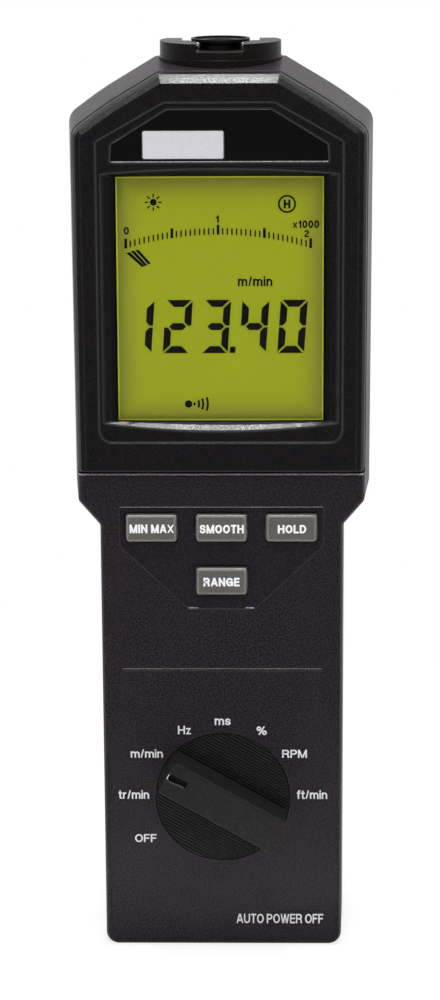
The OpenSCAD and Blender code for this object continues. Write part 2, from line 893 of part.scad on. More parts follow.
function plate_outline(e) = rounded(
    inset(both_sides([[plate_foot_w / 2, window_top_z + plate_foot_rise],
        [plate_corner_w / 2, window_top_z + plate_corner_rise],
        [plate_top_w / 2, window_top_z + plate_top_rise]]), both_edges([-e, -e], -e, -e)),
    both_corners([plate_corner_r, plate_corner_r, plate_corner_r]));

module name_plate_seat() {
    slab(plateau_y - cut, plateau_y + recess_d + plate_seat)
        polygon(plate_outline(plate_gap));
}

// Bare plate over the display, with a shallow seat for the silver plate.
module name_plate() {
    front = plateau_y + recess_d + plate_seat - plate_t;
    color([0.03, 0.03, 0.035])
    difference() {
        slab(front, front + plate_t)
            polygon(plate_outline(0));
        slab(front - cut, front + silver_t - silver_proud)
            polygon(silver_outline(plate_gap));
    }
}

silver_low = [silver_x, window_top_z + plate_foot_rise + silver_rise];
function silver_outline(e) = span_outline(silver_low - [e, e], silver_low + [silver_w + e, silver_h + e],
    least_r);

module silver_plate() {
    back = plateau_y + recess_d + plate_seat - plate_t + silver_t - silver_proud;
    color([0.78, 0.78, 0.79])
        slab(back - silver_t, back)
            polygon(silver_outline(0));
}

// Clear pane behind the bowed opening.
module display_window() {
    margin = [pane_margin_x, pane_margin_z];
    color([0.85, 0.9, 0.9, 0.35])
        slab(pane_y, pane_back_y)
            polygon(span_outline([-window_w / 2, window_z] - margin, [window_w / 2, window_top_z] + margin,
                board_corner_r));
}

// Liquid crystal cell: a rear glass and a shorter front glass.
cell_ledge = 1.2;
module lcd_cell() {
    mid_y = (cell_y + cell_back_y) / 2;
    color([0.55, 0.6, 0.15]) {
        slab(mid_y, cell_back_y)
            polygon(span_outline(cell_low, cell_high, least_r));
        slab(cell_y, mid_y)
            polygon(span_outline(cell_low + [0, cell_ledge], cell_high - [0, cell_ledge], least_r));
    }
}

guide_low = [cell_low[0] + holder_lip + loose, cell_low[1] + zebra_inset + zebra_t + loose + lamp_h + loose];
guide_high = [cell_high[0] - holder_lip - loose, cell_high[1] - zebra_inset - zebra_t - loose];

// Light plate behind the cell, and the lamps at its lower edge.
module backlight_plate() {
    color([0.7, 0.75, 0.2])
        slab(cell_back_y, cell_back_y + guide_t)
            polygon(span_outline(guide_low, guide_high, least_r));
}

lamps = 4;
module backlight_lamps() {
    pitch = window_w / lamps;
    color([0.9, 0.85, 0.5])
    for (i = [0 : lamps - 1])
        translate([(i - (lamps - 1) / 2) * pitch - lamp_w / 2, board_y - guide_reach,
            guide_low[1] - loose - lamp_h])
            cube([lamp_w, guide_reach, lamp_h]);
}
guide_reach = board_y - cell_back_y - lamp_t;

// Frame that holds the cell and the light plate over the board.
module lcd_holder() {
    front = cell_y + holder_front_setback;
    grow = [1, 1] * holder_gap;
    color([0.85, 0.85, 0.8])
    difference() {
        slab(front, board_y)
            polygon(span_outline(holder_low, holder_high, least_r));
        slab(front - cut, cell_back_y)
            polygon(span_outline(cell_low - grow, cell_high + grow, least_r));
        slab(cell_back_y - cut, board_y + cut)
            polygon(span_outline(cell_low + [holder_lip, zebra_inset - loose],
                cell_high - [holder_lip, zebra_inset - loose], least_r));
    }
    color([0.85, 0.85, 0.8])
    difference() {
        slab(cell_back_y + guide_t, cell_back_y + guide_t + lamp_t)
            polygon(span_outline([cell_low[0] + least_r, guide_low[1]],
                [cell_high[0] - least_r, guide_high[1]], least_r));
        slab(cell_back_y, board_y)
            polygon(span_outline([cell_low[0] + 2 * holder_wall, guide_low[1] + holder_wall],
                [cell_high[0] - 2 * holder_wall, guide_high[1] - holder_wall], least_r));
    }
}

// Rubber contact strips between the cell and the board.
module zebra_strips() {
    length = cell_high[0] - cell_low[0] - 2 * (holder_lip + loose);
    color([0.85, 0.6, 0.55])
    for (z = [cell_low[1] + zebra_inset, cell_high[1] - zebra_inset - zebra_t])
        translate([-length / 2, cell_back_y, z])
            cube([length, board_y - cell_back_y, zebra_t]);
}

// Main board, wide in the head, with a tongue between the upper screw posts.
module main_board() {
    handle_half = handle_w / 2 - board_handle_gap;
    head_half = holder_high[0] + board_margin;
    neck_z = head_top_z - board_neck_drop;
    color([0.1, 0.35, 0.15])
    difference() {
        slab(board_y, board_back_y)
            polygon(rounded(both_sides([[handle_half, board_foot_z], [handle_half, board_hip_z],
                [head_half, board_hip_z + (head_half - handle_half)], [head_half, neck_z],
                [board_top_w / 2, neck_z], [board_top_w / 2, head_top_z - board_top_drop]]),
                both_corners([board_corner_r, board_corner_r, board_corner_r, board_corner_r,
                    least_r, board_corner_r])));
        for (p = board_places)
            rod(p, board_screw_r + hole_gap, board_y - cut, board_back_y + cut);
        for (p = pin_places)
            rod(p, pin_r + running, board_y - cut, board_back_y + cut);
    }
}

// Flat chip with a row of leads along two sides.
module chip(mid, w, h) {
    leads = floor((h - chip_lead_pitch) / chip_lead_pitch);
    translate([mid[0] - w / 2, board_back_y + chip_lead_t / 2, mid[1] - h / 2])
        cube([w, chip_t, h]);
    for (side = [-1, 1])
        for (i = [0 : leads - 1])
            translate([mid[0] + side * (w + chip_lead_l) / 2 - (chip_lead_l + least_r) / 2, board_back_y,
                mid[1] + (i - (leads - 1) / 2) * chip_lead_pitch - chip_lead_w / 2])
                cube([chip_lead_l + least_r, chip_lead_t, chip_lead_w]);
}

module board_chips() {
    color([0.07, 0.07, 0.08]) {
        chip([0, seam_z + big_chip_rise], big_chip_w, big_chip_w);
        chip([-small_chip_x, seam_z + small_chip_rise], small_chip_w, small_chip_l);
        chip([small_chip_x, seam_z + small_chip_rise], small_chip_w, small_chip_l);
        chip([0, seam_z - driver_chip_drop - buzzer_drop], small_chip_w, small_chip_l);
    }
}

module board_capacitors() {
    color([0.35, 0.38, 0.5])
    for (i = [-1, 1])
        rod([i * (capacitor_pitch + small_chip_w), seam_z - capacitor_drop], capacitor_r, board_back_y,
            board_back_y + capacitor_h);
}

// Round sounder with its small hole.
module buzzer() {
    place = [0, seam_z - buzzer_drop];
    color([0.08, 0.08, 0.08])
    difference() {
        rod(place, buzzer_r, board_back_y, board_back_y + buzzer_h);
        rod(place, buzzer_hole_r, board_back_y + buzzer_h - 2 * buzzer_hole_r, board_back_y + buzzer_h + cut);
    }
}

// Rubber mat on the board, with a raised ring round the plunger of each key.
module keypad_mat() {
    low = [-key_pitch - key_w / 2 - mat_margin, key_low_z - key_h / 2 - mat_margin];
    high = [key_pitch + key_w / 2 + mat_margin, key_row_z + key_h / 2 + mat_margin];
    ring_y = key_flange_back_y + key_travel + mat_stop_gap;
    color([0.3, 0.3, 0.32])
    difference() {
        union() {
            slab(board_y - mat_t, board_y)
                polygon(span_outline(low, high, mat_corner_r));
            for (p = key_places)
                rod(p, plunger_r + mat_gap + mat_wall, ring_y, board_y - mat_t / 2);
        }
        for (p = key_places)
            rod(p, plunger_r + mat_gap, ring_y - cut, board_y + cut);
    }
}

// Key: bevelled cap, flange behind the face and the plunger that meets the board.
module key_cap(p) {
    front = panel_y - key_proud;
    color([0.42, 0.42, 0.42]) {
        loft([box_outline(p, [key_w - 2 * key_bevel, key_h - 2 * key_bevel], key_corner_r - key_bevel / 2),
            box_outline(p, [key_w - key_bevel / 2, key_h - key_bevel / 2], key_corner_r),
            box_outline(p, [key_w, key_h], key_corner_r)],
            [front, front + key_bevel / 2, front + 2 * key_bevel]);
        slab(front + 2 * key_bevel, key_flange_y + key_flange_t / 2)
            polygon(box_outline(p, [key_w, key_h], key_corner_r));
        slab(key_flange_y, key_flange_back_y)
            polygon(box_outline(p, [key_w + 2 * key_flange, key_h + 2 * key_flange], key_corner_r));
        rod(p, plunger_r, key_flange_back_y - key_flange_t / 2, plunger_end_y);
    }
}

module key_min_max() {
    key_cap(key_places[0]);
}

module key_smooth() {
    key_cap(key_places[1]);
}

module key_hold() {
    key_cap(key_places[2]);
}

module key_range() {
    key_cap(key_places[3]);
}

// Puts a shape drawn with the pointer along +X on the selector's axis, facing the user.
module on_selector(y) {
    translate([0, y, knob_z])
        rotate([90, 0, 0])
            rotate([0, 0, pointer_angle])
                children();
}

// Bar knob: ridged disc, tapered bar with an indicator slot, and a hub with two flats.
module selector_knob() {
    bar_h = knob_proud + knob_face_drop;
    disc_t = cup_floor_y - knob_gap - knob_face_y;
    hub_l = hub_end_y - knob_face_y;
    color([0.15, 0.15, 0.16])
    on_selector(knob_face_y) {
        difference() {
            translate([0, 0, -disc_t])
                cylinder(r = knob_r, h = disc_t);
            knob_grooves();
        }
        difference() {
            intersection() {
                knob_bar(bar_h);
                translate([0, 0, -cut])
                    cylinder(r = bar_end_r, h = bar_h + 2 * cut);
            }
            translate([bar_end_r - slot_end_gap - slot_l, -slot_side - slot_w / 2, bar_h - slot_d])
                cube([slot_l - slot_w / 2, slot_w, slot_d + cut]);
            translate([bar_end_r - slot_end_gap - slot_w / 2, -slot_side, bar_h - slot_d])
                cylinder(r = slot_w / 2, h = slot_d + cut);
        }
        difference() {
            translate([0, 0, -hub_l])
                cylinder(r = hub_r, h = hub_l);
            hub_cuts(hub_l);
        }
    }
}
hub_end_y = board_y - hub_end_gap;

// Bar with sloping flanks and rounded top edges, as a section drawn along the pointer.
module knob_bar(bar_h) {
    section = rounded([[-bar_w / 2, -cut], [bar_w / 2, -cut], [bar_top_w / 2, bar_h],
        [-bar_top_w / 2, bar_h]], [least_r, least_r, bar_edge_r, bar_edge_r]);
    rotate([90, 0, 90])
        translate([0, 0, -knob_r])
            linear_extrude(2 * knob_r)
                polygon(section);
}

// Fine grooves along the bar, from its foot to the rim on both sides.
module knob_grooves() {
    groove_w = ridge_pitch * ridge_w_share;
    count = floor((knob_r - bar_w / 2) / ridge_pitch) - 1;
    for (side = [-1, 1])
        for (i = [0 : count])
            translate([-knob_r, side * (bar_w / 2 + groove_w / 2 + i * ridge_pitch) - groove_w / 2, -ridge_d])
                cube([2 * knob_r, groove_w, ridge_d + cut]);
}

// Two flats that drive the rotor and the groove for the retaining clip.
module hub_cuts(hub_l) {
    flat_l = hub_end_y - rotor_y;
    for (side = [-1, 1])
        translate([-hub_r - cut, side > 0 ? hub_flat : -hub_r - cut, -hub_l - cut])
            cube([2 * (hub_r + cut), hub_r + cut - hub_flat, flat_l + cut]);
    translate([0, 0, -hub_l + hub_end_y - clip_y - clip_t])
        difference() {
            cylinder(r = hub_r + cut, h = clip_t);
            translate([0, 0, -cut])
                cylinder(r = hub_r - clip_groove - running, h = clip_t + 2 * cut);
        }
}

// Spring clip that keeps the hub in the case, open on one side.
module knob_clip() {
    clip_in_r = hub_r - clip_groove;
    color([0.7, 0.7, 0.72])
    on_selector(clip_y + clip_t - running)
        difference() {
            cylinder(r = clip_r, h = clip_t - 2 * running);
            translate([0, 0, -cut])
                cylinder(r = clip_in_r, h = clip_t + 2 * cut);
            translate([0, -clip_in_r, -cut])
                cube([clip_r + cut, 2 * clip_in_r, clip_t + 2 * cut]);
        }
}

// Rotor on the hub's flats, with two radial bores for the balls and springs.
module selector_rotor() {
    color([0.9, 0.9, 0.86])
    on_selector(rotor_back_y)
        difference() {
            cylinder(r = rotor_r, h = rotor_t);
            intersection() {
                translate([0, 0, -cut])
                    cylinder(r = hub_r + running, h = rotor_t + 2 * cut);
                translate([-hub_r - cut, -hub_flat - running, -cut])
                    cube([2 * (hub_r + cut), 2 * (hub_flat + running), rotor_t + 2 * cut]);
            }
            for (side = [0, 180])
                rotate([0, 0, side])
                    translate([ball_at - spring_l - ball_r, 0, rotor_t / 2])
                        rotate([0, 90, 0])
                            cylinder(r = ball_r + running, h = rotor_r);
        }
}

// Steel balls in the rotor's bores.
module detent_balls() {
    color([0.75, 0.75, 0.77])
    on_selector(rotor_back_y - rotor_t / 2)
        for (side = [-1, 1])
            translate([side * ball_at, 0, 0])
                sphere(r = ball_r, $fn = 32);
}

// Coil springs that push the balls out: a helix of even pitch.
module detent_springs() {
    steps = spring_turns * spring_steps;
    free_l = spring_l - 2 * spring_wire_r - 2 * running;
    start = ball_at - ball_r - spring_l + spring_wire_r + running;
    color([0.6, 0.6, 0.62])
    on_selector(rotor_back_y - rotor_t / 2)
        for (side = [0, 180])
            rotate([0, 0, side])
                swept([for (i = [0 : steps]) [start + free_l * i / steps,
                    spring_r * cos(360 * i / spring_steps), spring_r * sin(360 * i / spring_steps)]],
                    spring_wire_r, spring_sides);
}

// Ring of notches that the balls click into, fixed behind the cup.
module detent_ring() {
    color([0.85, 0.85, 0.8])
    difference() {
        rod([0, knob_z], ring_r, cup_back_y, rotor_back_y);
        rod([0, knob_z], ring_in_r, cup_back_y - cut, rotor_back_y + cut);
        for (i = [0 : stations - 1])
            rod([(ring_in_r + notch_d - notch_r) * cos(360 * i / stations),
                knob_z + (ring_in_r + notch_d - notch_r) * sin(360 * i / stations)], notch_r,
                cup_back_y - cut, rotor_back_y + cut);
    }
}

// Spring plate on the rotor with three arms, each ending in a contact tip.
module selector_contacts() {
    reach = board_y - contact_gap - rotor_back_y;
    tips = 3;
    color([0.8, 0.65, 0.3])
    on_selector(rotor_back_y + reach)
        difference() {
            union() {
                translate([0, 0, reach - contact_t])
                    cylinder(r = contact_r + contact_w / 2, h = contact_t);
                for (i = [0 : tips - 1])
                    rotate([0, 0, 360 * i / tips])
                        translate([contact_r, 0, 0])
                            cylinder(r = contact_tip_r, h = reach);
            }
            translate([0, 0, -cut])
                cylinder(r = contact_r - contact_w / 2, h = reach + 2 * cut);
            for (i = [0 : tips - 1])
                rotate([0, 0, 360 * i / tips + contact_arm])
                    translate([contact_r - contact_w, -contact_tip_r / 2, -cut])
                        cube([2 * contact_w, contact_tip_r, reach + 2 * cut]);
        }
}

// Battery block with rounded upright edges and its two terminals.
module battery() {
    color([0.25, 0.27, 0.3])
    translate([0, battery_y, battery_z])
        linear_extrude(battery_body_h)
            polygon(box_outline([0, battery_t / 2], [battery_w, battery_t], battery_edge_r));
    color([0.75, 0.75, 0.77])
    for (side = [-1, 1])
        post([side * terminal_x, battery_y + battery_t / 2], terminal_r, battery_z + battery_body_h - least_r,
            battery_top_z - running);
}

// Snap connector over the terminals.
module battery_snap() {
    snap_w = battery_w - 2 * battery_edge_r;
    snap_d = 2 * (terminal_r + battery_edge_r);
    color([0.05, 0.05, 0.05])
    difference() {
        translate([0, battery_y + battery_t / 2, battery_z + battery_body_h + running])
            linear_extrude(battery_cap_h + snap_h)
                polygon(box_outline([0, 0], [snap_w, snap_d], battery_edge_r));
        for (side = [-1, 1])
            post([side * terminal_x, battery_y + battery_t / 2], terminal_r + running,
                battery_z + battery_body_h - cut, battery_top_z + running);
    }
}

// Two leads from the snap, through the bay's slot, to the board.
module battery_leads() {
    color([0.5, 0.08, 0.08])
    for (side = [-1, 1])
        swept(lead_path(side * (lead_r + least_r)), lead_r, lead_sides);
}

function lead_path(x) = let (
        y0 = battery_y + battery_t / 2 - terminal_r - battery_edge_r,
        z0 = battery_z + battery_body_h + battery_cap_h + snap_h / 2,
        y1 = bay_in_y + 2 * lead_r,
        z1 = bay_top_z - lead_slot_h / 2,
        y2 = board_back_y,
        turn = 2 * lead_r)
    concat([[x, y0, z0]],
        [for (a = [0 : 15 : 90]) [x, y1 + turn - turn * sin(a), z0 + turn - turn * cos(a)]],
        [for (a = [0 : 15 : 90]) [x, y1 - turn + turn * cos(a), z1 - turn + turn * sin(a)]],
        [[x, y2, z1]]);

// Foam pad under the battery.
module battery_pad() {
    color([0.12, 0.12, 0.12])
        translate([-battery_w / 2, battery_y, bay_foot_z])
            cube([battery_w, battery_t, pad_t - running]);
}

// Door with a round lower edge on two pivot pins, grip ribs and a thumb hollow.
module battery_door() {
    color([0.15, 0.15, 0.16])
    difference() {
        union() {
            translate([-door_w / 2, door_in_y, door_axis_z])
                cube([door_w, door_t, door_top_z - door_axis_z]);
            translate([-door_w / 2, door_axis_y, door_axis_z])
                rotate([0, 90, 0])
                    cylinder(r = door_t / 2, h = door_w);
            translate([-door_w / 2 - door_pin_l, door_axis_y, door_axis_z])
                rotate([0, 90, 0])
                    cylinder(r = door_pin_r, h = door_w + 2 * door_pin_l);
        }
        thumb_hollow();
        door_ribs();
    }
}

// Hollow for the thumb near the top edge, cut by a large ball.
module thumb_hollow() {
    translate([0, back_y + thumb_r - thumb_d, door_top_z - thumb_r])
        sphere(r = thumb_r);
}

module door_ribs() {
    for (i = [1 : grip_ribs])
        translate([-grip_w / 2, back_y - grip_d, door_top_z - 2 * thumb_r + thumb_r / 2 - i * grip_pitch])
            cube([grip_w, grip_d + cut, grip_t]);
}

// Collar on the head: ring with a front notch, cut low behind, a web and a hidden flange.
module sensor_collar() {
    foot_z = web_under_z;
    notch_z = head_top_z + collar_h - collar_notch_h;
    color([0.13, 0.12, 0.11])
    difference() {
        union() {
            post([0, split_y], collar_r, head_top_z - least_r, head_top_z + collar_h);
            post([0, split_y], collar_r + collar_foot_grow, foot_z, head_top_z);
            post([0, split_y], collar_r + flange_grow, head_top_z - flange_drop - flange_t,
                head_top_z - flange_drop);
        }
        post([0, split_y], collar_r - collar_wall, foot_z + collar_web, head_top_z + collar_h + cut);
        post([0, split_y], barrel_r + barrel_gap, foot_z - cut, head_top_z);
        translate([-collar_notch_w / 2, split_y - collar_r - cut, notch_z])
            cube([collar_notch_w, collar_r + cut, collar_notch_h + cut]);
        translate([-collar_slot_w / 2, split_y - collar_slot_front, notch_z])
            cube([collar_slot_w, collar_r + collar_slot_front + cut, collar_notch_h + cut]);
        translate([-collar_r - cut, collar_cut_y, notch_z])
            cube([2 * (collar_r + cut), collar_r + cut, collar_notch_h + cut]);
    }
}

// Sensor barrel: lip, tapered neck, body through the collar's web and a shoulder under it.
module sensor_barrel() {
    lip_z = head_top_z + barrel_rise - lip_t;
    color([0.04, 0.04, 0.04])
    difference() {
        union() {
            post([0, split_y], lip_r, lip_z, lip_z + lip_t);
            translate([0, split_y, neck_foot_z])
                cylinder(r1 = neck_foot_r, r2 = neck_r, h = lip_z - neck_foot_z);
            post([0, split_y], neck_foot_r, barrel_top_z - wall, neck_foot_z);
            post([0, split_y], barrel_r, barrel_foot_z, barrel_top_z);
            post([0, split_y], barrel_r + barrel_shoulder_grow, web_under_z - barrel_shoulder_t,
                web_under_z);
        }
        post([0, split_y], lip_r - mouth_wall, lip_z + lip_t - mouth_d, lip_z + lip_t + cut);
        post([0, split_y], lens_aperture_r, barrel_foot_z - cut, lip_z + lip_t + cut);
        post([0, split_y], lens_r + lens_gap, barrel_foot_z - cut, lens_z + lens_half);
        post([0, split_y], bore_r, barrel_foot_z - cut, barrel_foot_z + barrel_l / 2);
    }
}

// Lens with two curved faces and a straight edge, as a turned section.
module sensor_lens() {
    drop = lens_curve_r - sqrt(lens_curve_r * lens_curve_r - lens_r * lens_r);
    steps = 2 * corner_steps;
    reach = asin(lens_r / lens_curve_r);
    top = lens_edge_t / 2 + drop - lens_curve_r;
    color([0.8, 0.9, 0.95, 0.35])
    translate([0, split_y, lens_z])
        rotate_extrude()
            polygon(concat(
                [for (k = [0 : steps]) let (a = reach * k / steps)
                    [lens_curve_r * sin(a), -top - lens_curve_r * cos(a)]],
                [for (k = [0 : steps]) let (a = reach * (1 - k / steps))
                    [lens_curve_r * sin(a), top + lens_curve_r * cos(a)]]));
}

// Ring that keeps the lens on its seat.
module lens_ring() {
    top = lens_z - lens_half;
    color([0.1, 0.1, 0.1])
    difference() {
        post([0, split_y], lens_r, top - lens_ring_t, top);
        post([0, split_y], lens_aperture_r, top - lens_ring_t - cut, top + cut);
    }
}

// Round can with a flange and a small glass, standing on the sensor board.
module light_can(x) {
    place = [x, split_y];
    post(place, can_flange_r, barrel_foot_z, barrel_foot_z + can_flange_t);
    difference() {
        post(place, can_r, barrel_foot_z, barrel_foot_z + can_h);
        post(place, can_glass_r, barrel_foot_z + can_h - can_glass_t, barrel_foot_z + can_h + cut);
    }
}

module laser_diode() {
    color([0.8, 0.75, 0.5])
        light_can(-can_x);
}

module photo_detector() {
    color([0.6, 0.6, 0.62])
        light_can(can_x);
}

// Small board across the foot of the barrel.
module sensor_board() {
    color([0.1, 0.35, 0.15])
        translate([0, split_y, sensor_board_z])
            linear_extrude(sensor_board_t)
                polygon(box_outline([0, 0], [sensor_board_w, sensor_board_d], board_corner_r));
}

// Header that carries the sensor board on the main board.
module sensor_header() {
    top = sensor_board_z;
    color([0.06, 0.06, 0.06])
        translate([-header_w / 2, board_back_y, top - header_h])
            cube([header_w, split_y - sensor_board_d / 2 - board_back_y + header_d, header_h]);
    color([0.85, 0.75, 0.4])
    for (p = pin_places)
        rod(p, pin_r, board_y, board_back_y + header_d / 2);
}

module case_screws() {
    color([0.25, 0.25, 0.27])
    for (p = case_places)
        screw(p, split_y + case_floor_t, case_screw_r, case_screw_l, case_head_r, case_head_t);
}

module board_screws() {
    color([0.7, 0.7, 0.72])
    for (p = board_places)
        screw(p, board_back_y, board_screw_r, board_screw_l, board_head_r, board_head_t);
}

module cover_screws() {
    color([0.7, 0.7, 0.72])
    for (p = cover_places)
        screw(p, head_in_y, cover_screw_r, head_in_y - pane_y - least_r, cover_head_r, cover_head_t);
}

rear_shell();
front_shell();
head_cover();
name_plate();
silver_plate();
display_window();
lcd_cell();
backlight_plate();
backlight_lamps();
lcd_holder();
zebra_strips();
main_board();
board_chips();
board_capacitors();
buzzer();
keypad_mat();
key_min_max();
key_smooth();
key_hold();
key_range();
selector_knob();
knob_clip();
selector_rotor();
selector_contacts();
detent_ring();
detent_balls();
detent_springs();
battery();
battery_snap();
battery_leads();
battery_pad();
battery_door();
sensor_collar();
sensor_barrel();
sensor_lens();
lens_ring();
laser_diode();
photo_detector();
sensor_board();
sensor_header();
case_screws();
board_screws();
cover_screws();
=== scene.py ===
"""Finishes, lettering, display marks, stage and camera of a hand-held laser tachometer.

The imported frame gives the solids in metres: +Z up, the front towards -Y and +X to the right.
"""

import math

import bmesh
import bpy
import numpy as np
from bpy.props import FloatProperty, FloatVectorProperty, PointerProperty, StringProperty
from mathutils import Matrix, Vector


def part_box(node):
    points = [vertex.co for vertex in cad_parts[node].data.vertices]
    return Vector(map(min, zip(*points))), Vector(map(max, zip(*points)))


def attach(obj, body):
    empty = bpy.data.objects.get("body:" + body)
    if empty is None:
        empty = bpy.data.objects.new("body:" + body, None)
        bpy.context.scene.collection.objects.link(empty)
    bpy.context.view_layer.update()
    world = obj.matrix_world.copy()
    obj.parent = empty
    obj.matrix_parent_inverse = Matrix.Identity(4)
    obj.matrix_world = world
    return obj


bl_info = {
    "name": "Laser tachometer dressing",
    "version": (1, 0, 0),
    "blender": (4, 5, 0),
    "location": "3D View > Sidebar > Tachometer",
    "description": "Finishes, lettering, display and stage of a hand-held laser tachometer",
    "category": "Object",
}

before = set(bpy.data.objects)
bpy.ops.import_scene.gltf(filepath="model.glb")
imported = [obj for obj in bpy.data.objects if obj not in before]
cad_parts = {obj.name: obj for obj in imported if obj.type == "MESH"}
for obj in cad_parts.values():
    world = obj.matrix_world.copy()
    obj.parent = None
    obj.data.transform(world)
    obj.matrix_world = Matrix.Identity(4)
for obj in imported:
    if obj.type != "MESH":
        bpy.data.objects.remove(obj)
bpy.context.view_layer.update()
MM = 0.001


def tone(red, green, blue):
    """Linear colour of an 8-bit screen colour."""
    screen = np.array([red, green, blue]) / 255.0
    linear = np.where(screen <= 0.04045, screen / 12.92, ((screen + 0.055) / 1.055) ** 2.4)
    return tuple(float(c) for c in linear)


# Settings


class CaseSettings(bpy.types.PropertyGroup):
    """Colours and texture of the moulded pieces."""

    case_colour: FloatVectorProperty(
        name="Case colour", description="Colour of the moulded shells",
        subtype="COLOR", size=3, min=0, max=1, default=tone(29, 25, 29))
    # Edges are painted this colour: partly wear, partly painted highlight where edges catch the light
    edge_wear_and_highlight_colour: FloatVectorProperty(
        name="Edge colour", description="Colour to which handled edges have worn",
        subtype="COLOR", size=3, min=0, max=1, default=tone(50, 47, 50))
    knob_colour: FloatVectorProperty(
        name="Knob colour", description="Colour of the selector knob",
        subtype="COLOR", size=3, min=0, max=1, default=tone(28, 27, 28))
    key_colour: FloatVectorProperty(
        name="Key colour", description="Colour of the four keys",
        subtype="COLOR", size=3, min=0, max=1, default=tone(74, 70, 67))
    collar_colour: FloatVectorProperty(
        name="Collar colour", description="Colour of the sensor's collar and barrel",
        subtype="COLOR", size=3, min=0, max=1, default=tone(14, 11, 9))
    grain: FloatProperty(
        name="Grain", description="Distance across one grain of the spark-eroded texture",
        subtype="DISTANCE", unit="LENGTH", min=0.0001, max=0.002, default=0.00036)


class PrintSettings(bpy.types.PropertyGroup):
    """Printed legends on the case and on the keys."""

    ink_colour: FloatVectorProperty(
        name="Ink colour", description="Colour of the printed legends",
        subtype="COLOR", size=3, min=0, max=1, default=tone(214, 214, 216))
    ink_height: FloatProperty(
        name="Ink height", description="How far the ink stands on the plastic",
        subtype="DISTANCE", unit="LENGTH", min=0.00001, max=0.0002, default=0.00004)


class DisplaySettings(bpy.types.PropertyGroup):
    """Colours and reading of the liquid crystal display."""

    reading: StringProperty(
        name="Reading", description="Figures shown, with one point", default="123.40")
    glow_colour: FloatVectorProperty(
        name="Glow colour", description="Colour of the lit cell at its middle",
        subtype="COLOR", size=3, min=0, max=1, default=tone(143, 154, 25))
    shade_colour: FloatVectorProperty(
        name="Shade colour", description="Colour of the lit cell towards its edges",
        subtype="COLOR", size=3, min=0, max=1, default=tone(126, 129, 40))
    rim_colour: FloatVectorProperty(
        name="Rim colour", description="Colour of the bright line round the cell",
        subtype="COLOR", size=3, min=0, max=1, default=tone(190, 204, 50))
    slant: FloatProperty(
        name="Slant", description="Lean of the large figures",
        subtype="ANGLE", unit="ROTATION", min=0, max=0.3, default=math.radians(4))


class StageSettings(bpy.types.PropertyGroup):
    """Floor and lamps."""

    floor_colour: FloatVectorProperty(
        name="Floor colour", description="Colour of the floor",
        subtype="COLOR", size=3, min=0, max=1, default=(0.93, 0.93, 0.93))
    floor_width: FloatProperty(
        name="Floor width", description="Width of the floor",
        subtype="DISTANCE", unit="LENGTH", min=1, max=40, default=16)
    lamp_power: FloatProperty(
        name="Lamp power", description="Power of the long soft lamp overhead",
        subtype="POWER", unit="POWER", min=0, max=100, default=22)
    surround: FloatProperty(
        name="Surround", description="Strength of the even light from all round",
        subtype="FACTOR", min=0, max=1, default=0.25)


# Finishes


# Half the width of a zone's soft border, in metres
ZONE_BLUR = 0.04 * MM
# How far the rounded normal leans, as 1 less its cosine, where the mask of an edge starts and is full
EDGE_LEAN = (0.004, 0.16)
# How far a face's normal has to lean up, and ahead, for a polish to start and to be full
POLISHED_UP = (0.3, 0.45)
# Distances from the middle of the case between which a polish fades, and its share at each
POLISH_FADE = (0.008, 0.0145, 1.0, 0.72)
# A paint whose strongest part is over this is broken up by the grain. Below it a zone is even black
LEAST_PAINT = 0.004


class Nodes:
    """A node tree, built a node at a time."""

    def __init__(self, tree):
        tree.nodes.clear()
        self.nodes, self.links = tree.nodes, tree.links

    def add(self, kind, inputs, **setup):
        """One node; inputs maps a socket's name or number to a value or to another socket."""
        node = self.nodes.new("ShaderNode" + kind)
        for key, value in setup.items():
            setattr(node, key, value)
        for key, value in inputs.items():
            if isinstance(value, bpy.types.NodeSocket):
                self.links.new(value, node.inputs[key])
            elif value is not None:
                node.inputs[key].default_value = value
        return node

    def mix(self, factor, first, second, mode="MIX"):
        """Colour between two, by a factor."""
        inputs = {0: factor, 6: colour4(first), 7: colour4(second)}
        return self.add("Mix", inputs, data_type="RGBA", blend_type=mode).outputs[2]

    def sums(self, operation, first, second=None, third=None):
        """One arithmetic step on numbers."""
        return self.add("Math", {0: first, 1: second, 2: third}, operation=operation).outputs[0]

    def span(self, value, low, high, to_low=0.0, to_high=1.0, smooth=False):
        """The value carried from one range to another, and kept inside it."""
        kind = "SMOOTHSTEP" if smooth else "LINEAR"
        inputs = {0: value, 1: low, 2: high, 3: to_low, 4: to_high}
        return self.add("MapRange", inputs, interpolation_type=kind).outputs[0]

    def seen(self):
        """1 for rays that show what they meet, straight on, mirrored or through glass, and 0 for others."""
        rays = self.add("LightPath", {}).outputs
        mirrored = self.sums("MAXIMUM", rays["Is Glossy Ray"], rays["Is Transmission Ray"])
        return self.sums("MAXIMUM", rays["Is Camera Ray"], mirrored)


